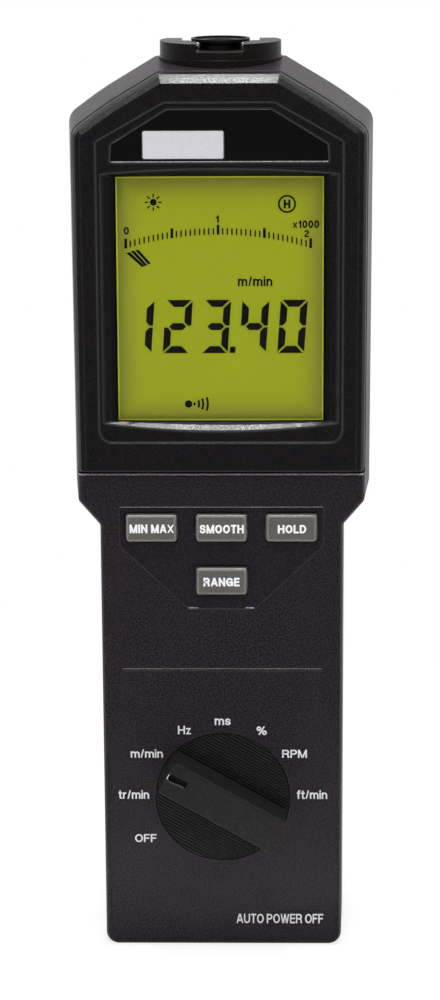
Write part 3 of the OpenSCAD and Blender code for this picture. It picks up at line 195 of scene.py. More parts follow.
class Finish(Nodes):
    """The node tree of one finish. Patterns lie on Object coordinates."""

    def __init__(self, name):
        self.material = bpy.data.materials.new(name)
        self.material.use_nodes = True
        super().__init__(self.material.node_tree)
        self.output = self.nodes.new("ShaderNodeOutputMaterial")
        self.place = self.nodes.new("ShaderNodeTexCoord").outputs["Object"]

    def noise(self, size, detail=2.0, rough=0.5, stretch=None):
        """Noise from 0 to 1 whose features are about size metres across."""
        place = self.place
        if stretch:
            place = self.add("Mapping", {"Vector": place, "Scale": stretch}).outputs[0]
        inputs = {"Vector": place, "Scale": 1 / size, "Detail": detail, "Roughness": rough}
        return self.add("TexNoise", inputs).outputs["Fac"]

    def axes(self):
        """The three Object coordinates as numbers."""
        return self.add("SeparateXYZ", {0: self.place}).outputs

    def inside(self, low, high, turn=0.0):
        """1 within a box given in mm by its two corners and turned about its middle, and 0 outside."""
        low, high = np.array(low) * MM, np.array(high) * MM
        middle = tuple((low + high) / 2)
        half = tuple((high - low) / 2)
        inputs = {"Vector": self.place, "Center": middle, "Angle": turn}
        place = self.add("VectorRotate", inputs, rotation_type="Y_AXIS").outputs[0]
        apart = self.add("VectorMath", {0: place, 1: middle}, operation="SUBTRACT").outputs[0]
        apart = self.add("VectorMath", {0: apart}, operation="ABSOLUTE").outputs[0]
        apart = self.add("VectorMath", {0: apart, 1: half}, operation="SUBTRACT").outputs[0]
        x, y, z = self.add("SeparateXYZ", {0: apart}).outputs
        farthest = self.sums("MAXIMUM", x, self.sums("MAXIMUM", y, z))
        return self.span(farthest, -ZONE_BLUR, ZONE_BLUR, 1, 0)

    def soft_edge(self, radius):
        """Normal rounded over edges, and a mask that is 1 on them."""
        rounded = self.add("Bevel", {"Radius": radius}, samples=6).outputs[0]
        flat = self.add("NewGeometry", {}).outputs["Normal"]
        along = self.add("VectorMath", {0: rounded, 1: flat}, operation="DOT_PRODUCT").outputs["Value"]
        return rounded, self.span(self.sums("SUBTRACT", 1.0, along), *EDGE_LEAN)

    def bumped(self, height, strength, depth, normal=None):
        """Normal roughened by a height."""
        inputs = {"Height": height, "Strength": strength, "Distance": depth, "Normal": normal}
        return self.add("Bump", inputs).outputs[0]

    def close(self, shader):
        """Joins the shader to the output and returns the material."""
        self.links.new(shader.outputs[0], self.output.inputs["Surface"])
        return self.material


def colour4(value):
    """A socket as it is, or a colour with its fourth number."""
    if isinstance(value, bpy.types.NodeSocket) or value is None:
        return value
    return tuple(value)[:3] + (1.0,)


def scaled(colour, factor):
    """A colour made lighter or darker."""
    return tuple(min(1.0, c * factor) for c in tuple(colour)[:3])


def moulded(name, colour, edge=None, grain=0.0004, speckle=0.9, rough=(0.28, 0.4), relief=0.00005,
            radius=0.0004, specular=0.08, gleam=0.6, polish=False, zones=()):
    """Moulded plastic or rubber: fine texture, slow variation, and edges handled smooth and painted pale,
    partly as wear and partly as painted highlight.

    Polish smooths the bevels that face up and forward too. Each zone is a colour and the box that it covers,
    by two corners in mm and a turn: a painted highlight along a line or edge, or painted shade in a seat,
    groove or slot.
    """
    hue_size, smudge_size = grain * 2.7, 0.05
    cool, warm = (0.92, 0.96, 1.16), (1.12, 1.0, 0.86)
    edge_smoothing, coat_rough = -0.1, 0.22
    work = Finish(name)
    fine = work.span(work.noise(grain, detail=2, rough=0.5), 0.4, 0.6)
    hue = work.span(work.noise(hue_size, detail=1), 0.4, 0.6)
    broad = work.noise(smudge_size, detail=3, rough=0.55)
    normal, mask = work.soft_edge(radius)
    grains = work.mix(fine, scaled(colour, 1 - speckle), scaled(colour, 1 + speckle))
    grains = work.mix(min(speckle, 0.6), grains, work.mix(hue, cool, warm), "MULTIPLY")
    body = work.mix(work.span(broad, 0.3, 0.7, 0, 0.35), grains, scaled(colour, 1.25))
    # Edges painted pale over the bevel mask: partly wear, partly painted highlight
    patchy = work.sums("MULTIPLY", mask, work.span(broad, 0.25, 0.75, 0.45, 1.0))
    shade = work.mix(patchy, body, edge or scaled(colour, 1.8))
    smooth = mask
    if polish:
        facing = work.add("NewGeometry", {}).outputs["Normal"]
        _, ahead, up = work.add("SeparateXYZ", {0: facing}).outputs
        forward = work.span(ahead, -POLISHED_UP[1], -POLISHED_UP[0], 1, 0)
        bevel = work.sums("MULTIPLY", work.span(up, *POLISHED_UP), forward)
        fade = work.span(work.sums("ABSOLUTE", work.axes()[0]), *POLISH_FADE, smooth=True)
        worn = work.sums("MULTIPLY", work.span(fine, 0, 1, 0.45, 1.0), fade)
        smooth = work.sums("MAXIMUM", mask, work.sums("MULTIPLY", bevel, worn))
    # Zones: painted highlights along lines and edges, and painted shade in seats, grooves and the slot
    for paint, first, second, *turn in zones:
        there = work.inside(first, second, *turn)
        if max(paint) > LEAST_PAINT:
            # Thinner where a grain differs most from the paint
            share = (0.5, 1.0) if max(paint) > max(colour) else (1.0, 0.4)
            there = work.sums("MULTIPLY", there, work.span(fine, 0, 1, *share))
        shade = work.mix(there, shade, paint)
        smooth = work.sums("MULTIPLY", smooth, work.sums("SUBTRACT", 1.0, there))
    dull = work.span(broad, 0.25, 0.75, *rough)
    dull = work.sums("MULTIPLY_ADD", mask, edge_smoothing, dull)
    bump = work.bumped(fine, 0.5, relief, normal)
    inputs = {"Base Color": shade, "Roughness": dull, "Normal": bump, "Specular IOR Level": specular,
              "Coat Weight": work.sums("MULTIPLY", smooth, gleam), "Coat Roughness": coat_rough}
    return work.close(work.add("BsdfPrincipled", inputs))


def metal(name, colour, rough=(0.2, 0.4)):
    """Bare or plated metal: fine marks, dull patches and bright edges."""
    mark_size, patch_size, radius = 0.0003, 0.004, 0.0002
    work = Finish(name)
    marks = work.noise(mark_size, detail=2)
    broad = work.noise(patch_size, detail=3)
    normal, mask = work.soft_edge(radius)
    shade = work.mix(broad, scaled(colour, 0.78), scaled(colour, 1.08))
    shade = work.mix(work.sums("MULTIPLY", mask, 0.5), shade, scaled(colour, 1.3))
    dull = work.span(marks, 0.3, 0.7, *rough)
    bump = work.bumped(marks, 0.25, 0.00001, normal)
    inputs = {"Base Color": shade, "Metallic": 1.0, "Roughness": dull, "Normal": bump}
    return work.close(work.add("BsdfPrincipled", inputs))


def ink(name, colour, thin=0.2, specular=0.3):
    """Printed ink: nearly even, thinner in places, with a slightly broken surface."""
    work = Finish(name)
    fine = work.noise(0.00025, detail=3)
    shade = work.mix(work.span(fine, 0.35, 0.7), scaled(colour, 1 - thin), colour)
    inputs = {"Base Color": shade, "Roughness": work.span(fine, 0.3, 0.7, 0.45, 0.7),
              "Normal": work.bumped(fine, 0.2, 0.00001), "Specular IOR Level": specular}
    return work.close(work.add("BsdfPrincipled", inputs))


# Half the width, the foot and the head of the part of the cell that shows, in metres
CELL_SHOWS = (0.02365, 0.12918, 0.18562)
# How far in from there the bright rim starts to fade and has faded, and the same for the shade along it
CELL_RIM = (0.22 * MM, 0.34 * MM)
CELL_SHADE = (0.0, 6.5 * MM)


def lit_cell(name, show):
    """The display's cell: lit green-yellow, olive towards its edges, with a bright line at the rim."""
    work = Finish(name)
    across, foot, head = CELL_SHOWS
    x, _, z = work.axes()
    inward = work.sums("MINIMUM", work.sums("SUBTRACT", z, foot), work.sums("SUBTRACT", head, z))
    inward = work.sums("MINIMUM", work.sums("SUBTRACT", across, work.sums("ABSOLUTE", x)), inward)
    fine = work.noise(0.0003, detail=2)
    even = work.mix(fine, scaled(show.glow_colour, 0.93), scaled(show.glow_colour, 1.07))
    glow = work.mix(work.span(inward, *CELL_SHADE, smooth=True), show.shade_colour, even)
    shade = work.mix(work.span(inward, *CELL_RIM), show.rim_colour, glow)
    inputs = {"Base Color": shade, "Roughness": work.span(fine, 0.3, 0.7, 0.3, 0.4),
              "Specular IOR Level": 0.06, "Emission Color": shade, "Emission Strength": 0.05,
              "Normal": work.bumped(fine, 0.1, 0.00001)}
    return work.close(work.add("BsdfPrincipled", inputs))


def clear_pane(name):
    """The clear window: lets the cell show, with a faint even sheen and fine wipe marks."""
    work = Finish(name)
    wiped = work.noise(0.002, detail=4, stretch=(0.2, 1.0, 1.0))
    inputs = {"Base Color": work.mix(wiped, tone(20, 22, 20), tone(30, 32, 30)), "Alpha": 0.04,
              "Roughness": work.span(wiped, 0.3, 0.7, 0.04, 0.12), "IOR": 1.49,
              "Normal": work.bumped(wiped, 0.05, 0.00001)}
    return work.close(work.add("BsdfPrincipled", inputs))


def solder_mask(name):
    """Circuit board: green lacquer over tracks that run square to each other, as two waves multiplied.

    A wave's rate is in radians a metre.
    """
    across_rate, up_rate = 2400.0, 2100.0
    work = Finish(name)
    x, _, z = work.axes()
    across = work.sums("SINE", work.sums("MULTIPLY", x, across_rate))
    up = work.sums("SINE", work.sums("MULTIPLY", z, up_rate))
    lines = work.sums("MULTIPLY", across, up)
    fine = work.noise(0.003, detail=2)
    tracks = work.span(work.sums("ADD", lines, work.span(fine, 0.3, 0.7, -0.4, 0.4)), 0.1, 0.2)
    shade = work.mix(tracks, tone(14, 74, 40), tone(24, 104, 58))
    inputs = {"Base Color": shade, "Roughness": work.span(fine, 0.3, 0.7, 0.25, 0.45),
              "Normal": work.bumped(tracks, 0.3, 0.00003), "Coat Weight": 0.3}
    return work.close(work.add("BsdfPrincipled", inputs))


def battery_jacket(name):
    """Battery can: dark lower jacket and a copper-coloured band above it, with rubbed edges."""
    work = Finish(name)
    low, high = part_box("battery")
    _, _, z = work.axes()
    rubbed = work.noise(0.006, detail=4)
    band_share, blur = 0.3, 0.1 * MM
    border = high.z - (high.z - low.z) * band_share
    line = work.span(z, border - blur, border + blur)
    shade = work.mix(line, tone(34, 34, 38), tone(176, 108, 58))
    shade = work.mix(work.span(rubbed, 0.62, 0.75), shade, tone(120, 118, 116))
    inputs = {"Base Color": shade, "Metallic": 0.6, "Roughness": work.span(rubbed, 0.3, 0.7, 0.28, 0.45),
              "Normal": work.bumped(rubbed, 0.1, 0.00002)}
    return work.close(work.add("BsdfPrincipled", inputs))


def glass_lens(name):
    """Coated lens: clear, with a faint violet coat."""
    work = Finish(name)
    fine = work.noise(0.001, detail=2)
    inputs = {"Base Color": work.mix(fine, tone(60, 50, 90), tone(80, 70, 120)),
              "Roughness": work.span(fine, 0.3, 0.7, 0.03, 0.08), "Transmission Weight": 0.5,
              "IOR": 1.5, "Coat Weight": 1.0, "Normal": work.bumped(fine, 0.03, 0.00001)}
    return work.close(work.add("BsdfPrincipled", inputs))


# Meshes


def mesh_from(name, points, faces):
    """A mesh from an array of points in metres and lists of corner numbers."""
    mesh = bpy.data.meshes.new(name)
    mesh.from_pydata(points.tolist(), [], faces)
    mesh.update()
    return mesh


def at_two_depths(outline, front, back):
    """Points in metres of an outline of (x, z) corners in mm, set at depth front and again at depth back."""
    outline = np.asarray(outline, float)
    both = np.vstack([outline, outline])
    return np.column_stack([both[:, 0], np.repeat([front, back], len(outline)), both[:, 1]]) * MM


def side_faces(count):
    """Faces between the front outline and the back one, each with count corners."""
    ring = np.arange(count)
    after = (ring + 1) % count
    return np.column_stack([ring, ring + count, after + count, after])


def round_outline(start, end, steps, whole=False):
    """Points of a circle of radius 1 from one angle to another. A whole circle leaves out its last point."""
    angle = np.linspace(start, end, steps, endpoint=not whole)
    return np.column_stack([np.cos(angle), np.sin(angle)])


def plate(outline, front, back):
    """A flat plate: an outline of (x, z) corners in mm, anticlockwise from the front, between two depths."""
    count = len(outline)
    ring = np.arange(count)
    faces = [ring.tolist(), (ring[::-1] + count).tolist()] + side_faces(count).tolist()
    return mesh_from("plate", at_two_depths(outline, front, back), faces)


def strip_plate(outline, front, back):
    """A plate whose outline runs out along one side and back along the other, faced with strips."""
    count = len(outline)
    row = np.arange(count // 2 - 1)
    strip = np.column_stack([row, row + 1, count - 2 - row, count - 1 - row])
    faces = np.vstack([strip, strip[:, ::-1] + count, side_faces(count)])
    return mesh_from("strip", at_two_depths(outline, front, back), faces.tolist())


def arc_plate(middle, inner, outer, start, end, front, back, steps=24):
    """Part of a flat ring in mm: radius runs from inner to outer and the angle from start to end."""
    unit = round_outline(start, end, steps)
    outline = np.vstack([unit * outer, unit[::-1] * inner]) + np.asarray(middle)
    return strip_plate(outline, front, back)


def disc(middle, radius, front, back, steps=40):
    """A round plate in mm."""
    unit = round_outline(0, 2 * math.pi, steps, whole=True)
    return plate(unit * radius + np.asarray(middle), front, back)


def band(outer, inner, front, back):
    """A flat closed band in mm between two outlines with the same number of points."""
    count = len(outer)
    points = at_two_depths(np.vstack([outer, inner]), front, back)
    a = np.arange(count)
    b = (a + 1) % count
    level = 2 * count
    faces = np.vstack([
        np.column_stack([a, b, b + count, a + count]),
        np.column_stack([a + level, a + count + level, b + count + level, b + level]),
        np.column_stack([a, a + level, b + level, b]),
        np.column_stack([a + count, b + count, b + count + level, a + count + level])])
    return mesh_from("band", points, faces.tolist())


def ring_plate(middle, inner, outer, front, back, steps=56):
    """A whole flat ring in mm."""
    unit = round_outline(0, 2 * math.pi, steps, whole=True)
    return band(unit * outer + np.asarray(middle), unit * inner + np.asarray(middle), front, back)


# Each letter's width as a share of a capital's height, and the middle lines of its strokes, which count
# 1 as the letter's own width and as a capital's height. Semicolons part the strokes, and a stroke that
# ends in o is closed. path_of says how a stroke is written
LETTERS = {
    " ": (0.16, ""),
    "A": (0.76, "0,0 .43,1 .57,1 1,0;.17,.29 .83,.29"),
    "D": (0.71, "0,0 0,1 .38,1 @.38,.5,.62,.5,90,-90 o"),
    "E": (0.6, "1,1 0,1 0,0 1,0;0,.52 .92,.52"),
    "F": (0.57, "1,1 0,1 0,0;0,.5 .86,.5"),
    "G": (0.76, "@.5,.5,.5,.5,38,330;.56,.46 1,.46 1,.04"),
    "H": (0.71, "0,0 0,1;1,0 1,1;0,.52 1,.52"),
    "I": (0.0, "0,0 0,1"),
    "L": (0.56, "0,1 0,0 1,0"),
    "M": (0.86, "0,0 0,1;1,0 1,1;.05,1 .46,0 .54,0 .95,1"),
    "N": (0.71, "0,0 0,1;1,0 1,1;.04,1 .96,0"),
    "O": (0.78, "@.5,.5,.5,.5,0,360 o"),
    "P": (0.65, "0,0 0,1 .5,1 @.5,.73,.5,.27,90,-90 0,.46"),
    "R": (0.7, "0,0 0,1 .5,1 @.5,.74,.46,.26,90,-90 0,.48;.55,.48 .88,.36 .96,0"),
    "S": (0.66, "@.5,.76,.46,.24,15,270 @.5,.26,.5,.26,90,-165"),
    "T": (0.62, "0,1 1,1;.5,1 .5,0"),
    "U": (0.7, "0,1 @.5,.38,.5,.38,180,360 1,1"),
    "W": (0.98, "0,1 .22,0 .28,0 .47,1 .53,1 .72,0 .78,0 1,1"),
    "X": (0.7, "0,1 1,0;0,0 1,1"),
    "z": (0.5, "0,.69 1,.69 0,0 1,0"),
    "f": (0.36, ".4,0 .4,.86 .6,1 1,1;0,.69 1,.69"),
    "i": (0.0, "0,0 0,.69;0,.99 0,1"),
    "m": (0.9, "0,0 0,.69;0,.38 @.25,.42,.25,.27,180,0 .5,0;.5,.38 @.75,.42,.25,.27,180,0 1,0"),
    "n": (0.57, "0,0 0,.69;0,.36 @.5,.4,.5,.29,180,0 1,0"),
    "r": (0.38, "0,0 0,.69;0,.3 @.95,.34,.95,.35,180,95"),
    "s": (0.54, "@.5,.52,.46,.17,15,270 @.5,.175,.5,.175,90,-165"),
    "t": (0.36, ".4,.95 .4,.14 .6,0 1,0;0,.69 1,.69"),
    "x": (0.52, "0,.69 1,0;0,0 1,.69"),
    "/": (0.36, "0,0 1,1"),
    "%": (0.95, "@.18,.77,.18,.23,0,360 o;@.82,.23,.18,.23,0,360 o;.24,0 .76,1"),
    "0": (0.56, "@.5,.5,.5,.5,0,360 o"),
    "1": (0.36, "1,0 1,1;0,.76 .6,.8 1,.95"),
    "2": (0.56, "@.5,.72,.48,.28,165,-30 .1,.2 0,0 1,0"),
}


def path_of(words):
    """Points of one stroke from its words.

    A word x,z is a corner, and @x,z,rx,rz,a,b is an arc about x,z from angle a to angle b in degrees.
    """
    arc_steps, least_step = 17, 1e-6
    runs = []
    for word in words.split():
        numbers = [float(n) for n in word.strip("@").split(",")]
        if word[0] == "@":
            start, end = np.radians(numbers[4:])
            runs.append(round_outline(start, end, arc_steps) * numbers[2:4] + numbers[:2])
        else:
            runs.append(np.array([numbers]))
    points = np.vstack(runs)
    apart = np.hypot(*np.diff(points, axis=0, prepend=points[:1] - 1).T)
    return points[apart > least_step]


def stroke_sides(path, thick, closed):
    """The two sides of a stroke: half its thickness away from the path along the mitre at each point.

    The mitre of a sharp corner is cut short, as if its cosine were sharpest.
    """
    sharpest = 0.3
    if closed:
        path = path[:-1] if np.allclose(path[0], path[-1]) else path
        before, after = path - np.roll(path, 1, axis=0), np.roll(path, -1, axis=0) - path
    else:
        step = np.diff(path, axis=0)
        before, after = np.vstack([step[:1], step]), np.vstack([step, step[-1:]])
    before = before / np.hypot(*before.T)[:, None]
    after = after / np.hypot(*after.T)[:, None]
    if not closed:
        path = path.copy()
        path[0] -= before[0] * thick / 2
        path[-1] += after[-1] * thick / 2
    across = np.column_stack([-before[:, 1] - after[:, 1], before[:, 0] + after[:, 0]])
    across = across / np.hypot(*across.T)[:, None]
    square = across[:, 1] * before[:, 0] - across[:, 0] * before[:, 1]
    mitre = across * (thick / 2 / np.maximum(square, sharpest))[:, None]
    return path + mitre, path - mitre


def letters(text, box, front, back, thick):
    """Plain upright letters drawn in strokes, fitted to the box (left, right, foot, head) in mm.

    The thickness is a share of a capital's height. Each stroke is a closed plate, and the later ones of a
    letter are a little thicker than the first, so that no two faces lie in one plane.
    """
    between, step_out = 0.09, 0.002
    cursor, sides = 0.0, []
    for letter in text:
        width, strokes = LETTERS[letter]
        room = np.array([max(width - thick, 0), 1 - thick])
        for number, words in enumerate(filter(None, strokes.split(";"))):
            closed = words.endswith("o")
            path = path_of(words.rstrip("o")) * room + thick / 2
            pair = stroke_sides(path, thick, closed)
            pair = [np.clip(side, 0, room + thick) + (cursor, 0) for side in pair]
            sides.append((closed, number * step_out, pair))
        cursor += room[0] + thick + between
    every = np.vstack([side for _, _, pair in sides for side in pair])
    low, high = every.min(axis=0), every.max(axis=0)
    left, right, foot, head = box
    scale = (right - left, head - foot) / (high - low)
    meshes = []
    for closed, step, pair in sides:
        one, other = ((side - low) * scale + (left, foot) for side in pair)
        if closed:
            meshes.append(band(one, other, front - step, back + step))
        else:
            meshes.append(strip_plate(np.vstack([one, other[::-1]]), front - step, back + step))
    return meshes


# Points nearer to each other than this are one, in metres
SAME_POINT = 1e-7


def piece(name, meshes, finish, body):
    """One object from several closed meshes, riding on a body."""
    work = bmesh.new()
    for mesh in meshes:
        work.from_mesh(mesh)
        bpy.data.meshes.remove(mesh)
    bmesh.ops.remove_doubles(work, verts=work.verts, dist=SAME_POINT)
    bmesh.ops.recalc_face_normals(work, faces=work.faces)
    whole = bpy.data.meshes.new(name)
    work.to_mesh(whole)
    work.free()
    whole.materials.append(finish)
    thing = bpy.data.objects.new(name, whole)
    bpy.context.collection.objects.link(thing)
    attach(thing, body)
    return thing


def front_of(node):
    """Depth of a node's foremost face, in mm."""
    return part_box(node)[0].y / MM


# Display marks

# The seven bars of a figure, by the letters a to g, that each figure lights
BARS = {"0": "abcdef", "1": "bc", "2": "abged", "3": "abgcd", "4": "fgbc", "5": "afgcd",
        "6": "afgedc", "7": "abc", "8": "abcdefg", "9": "abcdfg"}


def figure_bars(width, height, thick, gap):
    """Outlines of the seven bars of one upright figure, cut at 45 degrees where they meet."""
    mid, half, cut, near = height / 2, thick / 2, gap * 0.7, gap / 2
    left, right = thick + cut, width - thick - cut
    top = [(cut, height), (left, height - thick), (right, height - thick), (width - cut, height)]
    side = [(0, mid + near), (half, mid + near), (thick, mid + half + cut),
            (thick, height - thick - cut), (0, height - cut)]
    middle = [(half + cut, mid), (left, mid - half), (right, mid - half),
              (width - half - cut, mid), (right, mid + half), (left, mid + half)]

    def turned(line):
        return [(width - x, z) for x, z in line][::-1]

    def flipped(line):
        return [(x, height - z) for x, z in line][::-1]

    return {"a": top, "d": flipped(top), "f": side, "e": flipped(side), "b": turned(side),
            "c": flipped(turned(side)), "g": middle}


def reading_marks(show, front, back):
    """The large figures: each bar leans by the slant, and figures are set at one pitch from the right."""
    width, height, thick, gap = 6.2, 12.4, 1.66, 0.42
    pitch, right, foot = 8.78, 19.2, 144.9
    point_w, point_h, point_lean = 1.3, 1.45, 0.1
    point_left, point_rise = 0.45, 0.05
    bars = figure_bars(width, height, thick, gap)
    lean = math.tan(show.slant)
    meshes = []
    digits = show.reading.replace(".", "")
    for number, digit in enumerate(digits):
        left = right - width - pitch * (len(digits) - 1 - number)
        for bar in BARS[digit]:
            line = np.array(bars[bar])
            line = np.column_stack([line[:, 0] + line[:, 1] * lean + left, line[:, 1] + foot])
            meshes.append(plate(line, front, back))
    before = show.reading.find(".")
    if before > 0:
        left = right - pitch * (len(digits) - before) + point_left
        point = np.array([(0, 0), (point_w, 0), (point_w + point_lean, point_h), (point_lean, point_h)])
        meshes.append(plate(point + (left, foot + point_rise), front, back))
    return meshes


def scale_marks(front, back):
    """The curved scale: upright marks at one step, whose feet follow a parabola, every tenth one longer."""
    steps, long_step = 40, 10
    left, width, crest, drop = -21.5, 42.16, 172.33, 3.13
    number = np.arange(steps + 1)
    from_middle = 2 * number / steps - 1
    across = left + width * number / steps
    foot = crest - drop * from_middle ** 2
    long = number % long_step == 0
    half = np.where(long, 0.32, 0.17)
    tall = np.where(long, 2.25, 1.5)
    return [plate([(x - h, z), (x + h, z), (x + h, z + t), (x - h, z + t)], front, back)
            for x, z, h, t in zip(across, foot, half, tall)]


def bar_marks(front, back):
    """Three slanted bars under the low end of the scale."""
    lines = [[(-21.45, 168.16), (-17.87, 164.92), (-17.18, 165.11), (-20.57, 168.35)],
             [(-20.39, 168.54), (-17.18, 165.15), (-16.56, 165.34), (-19.59, 168.70)],
             [(-19.37, 168.81), (-16.45, 165.53), (-15.79, 165.72), (-18.57, 168.89)]]
    return [plate(line, front, back) for line in lines]


def lamp_marks(front, back):
    """A round sign with eight rays."""
    middle = np.array([-15.12, 179.75])
    radius, ray_start, ray_end, ray_half, rays = 0.78, 1.12, 1.93, 0.17, 8
    meshes = [disc(middle, radius, front, back)]
    for out in round_outline(0, 2 * math.pi, rays, whole=True):
        side = np.array([-out[1], out[0]]) * ray_half
        near, far = middle + out * ray_start, middle + out * ray_end
        meshes.append(plate([near - side, far - side, far + side, near + side], front, back))
    return meshes


def sounder_marks(front, back):
    """A dot with four arcs to its right, each with its outer radius and half its angle."""
    middle = np.array([-7.45, 132.99])
    radius, thick = 0.87, 0.5
    arcs = ((1.62, 0.26), (2.68, 0.36), (3.62, 0.39), (4.68, 0.36))
    return [disc(middle, radius, front, back)] + [
        arc_plate(middle, outer - thick, outer, -spread, spread, front, back) for outer, spread in arcs]


# Each word on the cell: text, box as left, right, foot and head in mm, and the strokes' thickness
CELL_WORDS = [("H", (14.52, 16.05, 178.3, 180.28), 0.23), ("0", (-21.93, -20.7, 172.37, 174.14), 0.19),
              ("1", (-0.97, -0.2, 175.02, 176.70), 0.19), ("2", (19.2, 20.29, 171.7, 173.35), 0.19),
              ("x1000", (16.56, 22.59, 173.77, 175.55), 0.19),
              ("m/min", (4.02, 11.94, 160.45, 162.75), 0.18)]
# The ring round the H: middle as (x, z), inner radius and outer radius in mm
LETTER_RING = ((15.27, 179.3), 1.64, 2.07)


def window_marks(show, front, back):
    """Everything that the cell shows."""
    meshes = reading_marks(show, front, back) + scale_marks(front, back) + bar_marks(front, back)
    meshes += lamp_marks(front, back) + sounder_marks(front, back)
    meshes.append(ring_plate(*LETTER_RING, front, back))
    for text, box, thick in CELL_WORDS:
        meshes += letters(text, box, front, back, thick)
    return meshes


# Legends

# Each word's text and box, as on the cell
CASE_WORDS = [("OFF", (-21.07, -15.88, 26.39, 28.40)), ("tr/min", (-24.84, -17.57, 37.33, 39.48)),
              ("m/min", (-21.81, -14.19, 47.65, 49.71)), ("Hz", (-10.55, -7.48, 53.48, 55.57)),
              ("ms", (-1.83, 1.93, 55.78, 57.39)), ("%", (8.06, 10.48, 53.30, 55.47)),
              ("RPM", (14.12, 20.00, 47.65, 49.63)), ("ft/min", (17.63, 24.84, 37.35, 39.50)),
              ("AUTO POWER OFF", (3.15, 24.01, 5.75, 8.13))]
# The same for each key, with the body that the key rides on
KEY_WORDS = {"key_min_max": ("MIN MAX", (-21.34, -11.05, 102.92, 104.98), "min_max_button"),
             "key_smooth": ("SMOOTH", (-5.04, 5.22, 102.85, 104.90), "smooth_button"),
             "key_hold": ("HOLD", (13.13, 19.75, 102.86, 104.86), "hold_button"),
             "key_range": ("RANGE", (-4.24, 4.20, 90.08, 92.15), "range_button")}
# How deep the marks and the ink are seated in the face under them, and the thickness of the marks, in mm
SEATED = 0.01
MARK_THICK = 0.05
# Thickness of the letters' strokes, as a share of their height
CASE_STROKE = 0.15
KEY_STROKE = 0.21


# Painted highlight and shade zones

# Middle of the knob's slanted slot as (x, z) in mm, its turn, and the depth to which its painted shade and
# highlights reach
SLOT_MIDDLE = np.array([-10.38, 44.49])
SLOT_TURN = math.radians(-26.5)
SLOT_BACK = -22.2


def slot_zone(paint, along, across, half_length, half_width, front):
    """A zone on the slot, from its middle counted along and across the slot, its half sizes and its front."""
    along_axis = np.array([math.cos(SLOT_TURN), math.sin(SLOT_TURN)])
    across_axis = np.array([-along_axis[1], along_axis[0]])
    x, z = SLOT_MIDDLE + along * along_axis + across * across_axis
    low = (x - half_length, front, z - half_width)
    high = (x + half_length, SLOT_BACK, z + half_width)
    return paint, low, high, SLOT_TURN


# Pale grey for the painted highlights at the ends of the key panel's bottom line
FOOT_LINE_HIGHLIGHT = tone(150, 146, 148)
# Black for the painted shade in the knob's grooves and slot
PAINTED_SHADE_BLACK = tone(3, 3, 3)
# Each zone is a paint and two corners in mm, and a turn if it has one: a painted highlight or painted shade.
# Later ones lie over earlier ones
FRONT_ZONES = [
    # painted shade: the key panel's floor and the walls of the key openings painted darker
    (tone(21, 16, 24), (-24, -15.44, 82), (24, -14.5, 108.7)),             # the key panel's floor
    # painted highlight at the two ends of the panel's bottom line
    (FOOT_LINE_HIGHLIGHT, (-7.8, -16, 84.42), (-5.6, -15.2, 84.68)),                 # marks at the panel's foot
    (FOOT_LINE_HIGHLIGHT, (5.6, -16, 84.42), (7.5, -15.2, 84.68)),
    # painted highlight along the line across the handle
    (tone(118, 112, 112), (-23.4, -16, 69.58), (23.4, -15.4, 69.78)),      # line across the handle
    # painted highlight: the shell's edge under the cover's seam painted near white
    (tone(225, 221, 225), (-40, -16, 116.42), (40, -14.4, 116.76)),        # lip at the cover's seam
    # painted highlight along the line at the key panel's top
    (tone(124, 120, 122), (-23.6, -16, 108.72), (23.6, -15, 108.98))]      # line at the panel's top
COVER_ZONES = [
    # painted shade: the recess round the window painted nearly black
    (tone(4, 3, 4), (-25.7, -15.6, 126.5), (25.7, -14.0, 188.5))]          # seat round the window
PLATE_ZONES = [
    # painted highlight along the plate's lower edge
    (tone(176, 174, 178), (-24.8, -17, 189.1), (24.8, -16, 189.4))]        # lower edge of the plate
KNOB_ZONES = [
    # painted shade: the floors of the knob's grooves painted black
    (PAINTED_SHADE_BLACK, (-15.9, -15.22, 21.9), (15.9, -14.8, 53.7)),              # floors of the grooves
    # painted shade: the slot's floor painted black
    slot_zone(PAINTED_SHADE_BLACK, 0, 0, 2.44, 0.85, -23.35),                       # the slot's floor
    # painted highlight along the slot's lower edge
    slot_zone(tone(96, 90, 86), -0.2, -0.97, 2.1, 0.09, -23.6),            # its lower edge
    # painted highlight: a glint at the slot's outer end
    slot_zone(tone(235, 230, 226), -2.56, -0.05, 0.14, 0.62, -23.6)]       # the mark at its end


# Finish of each solid


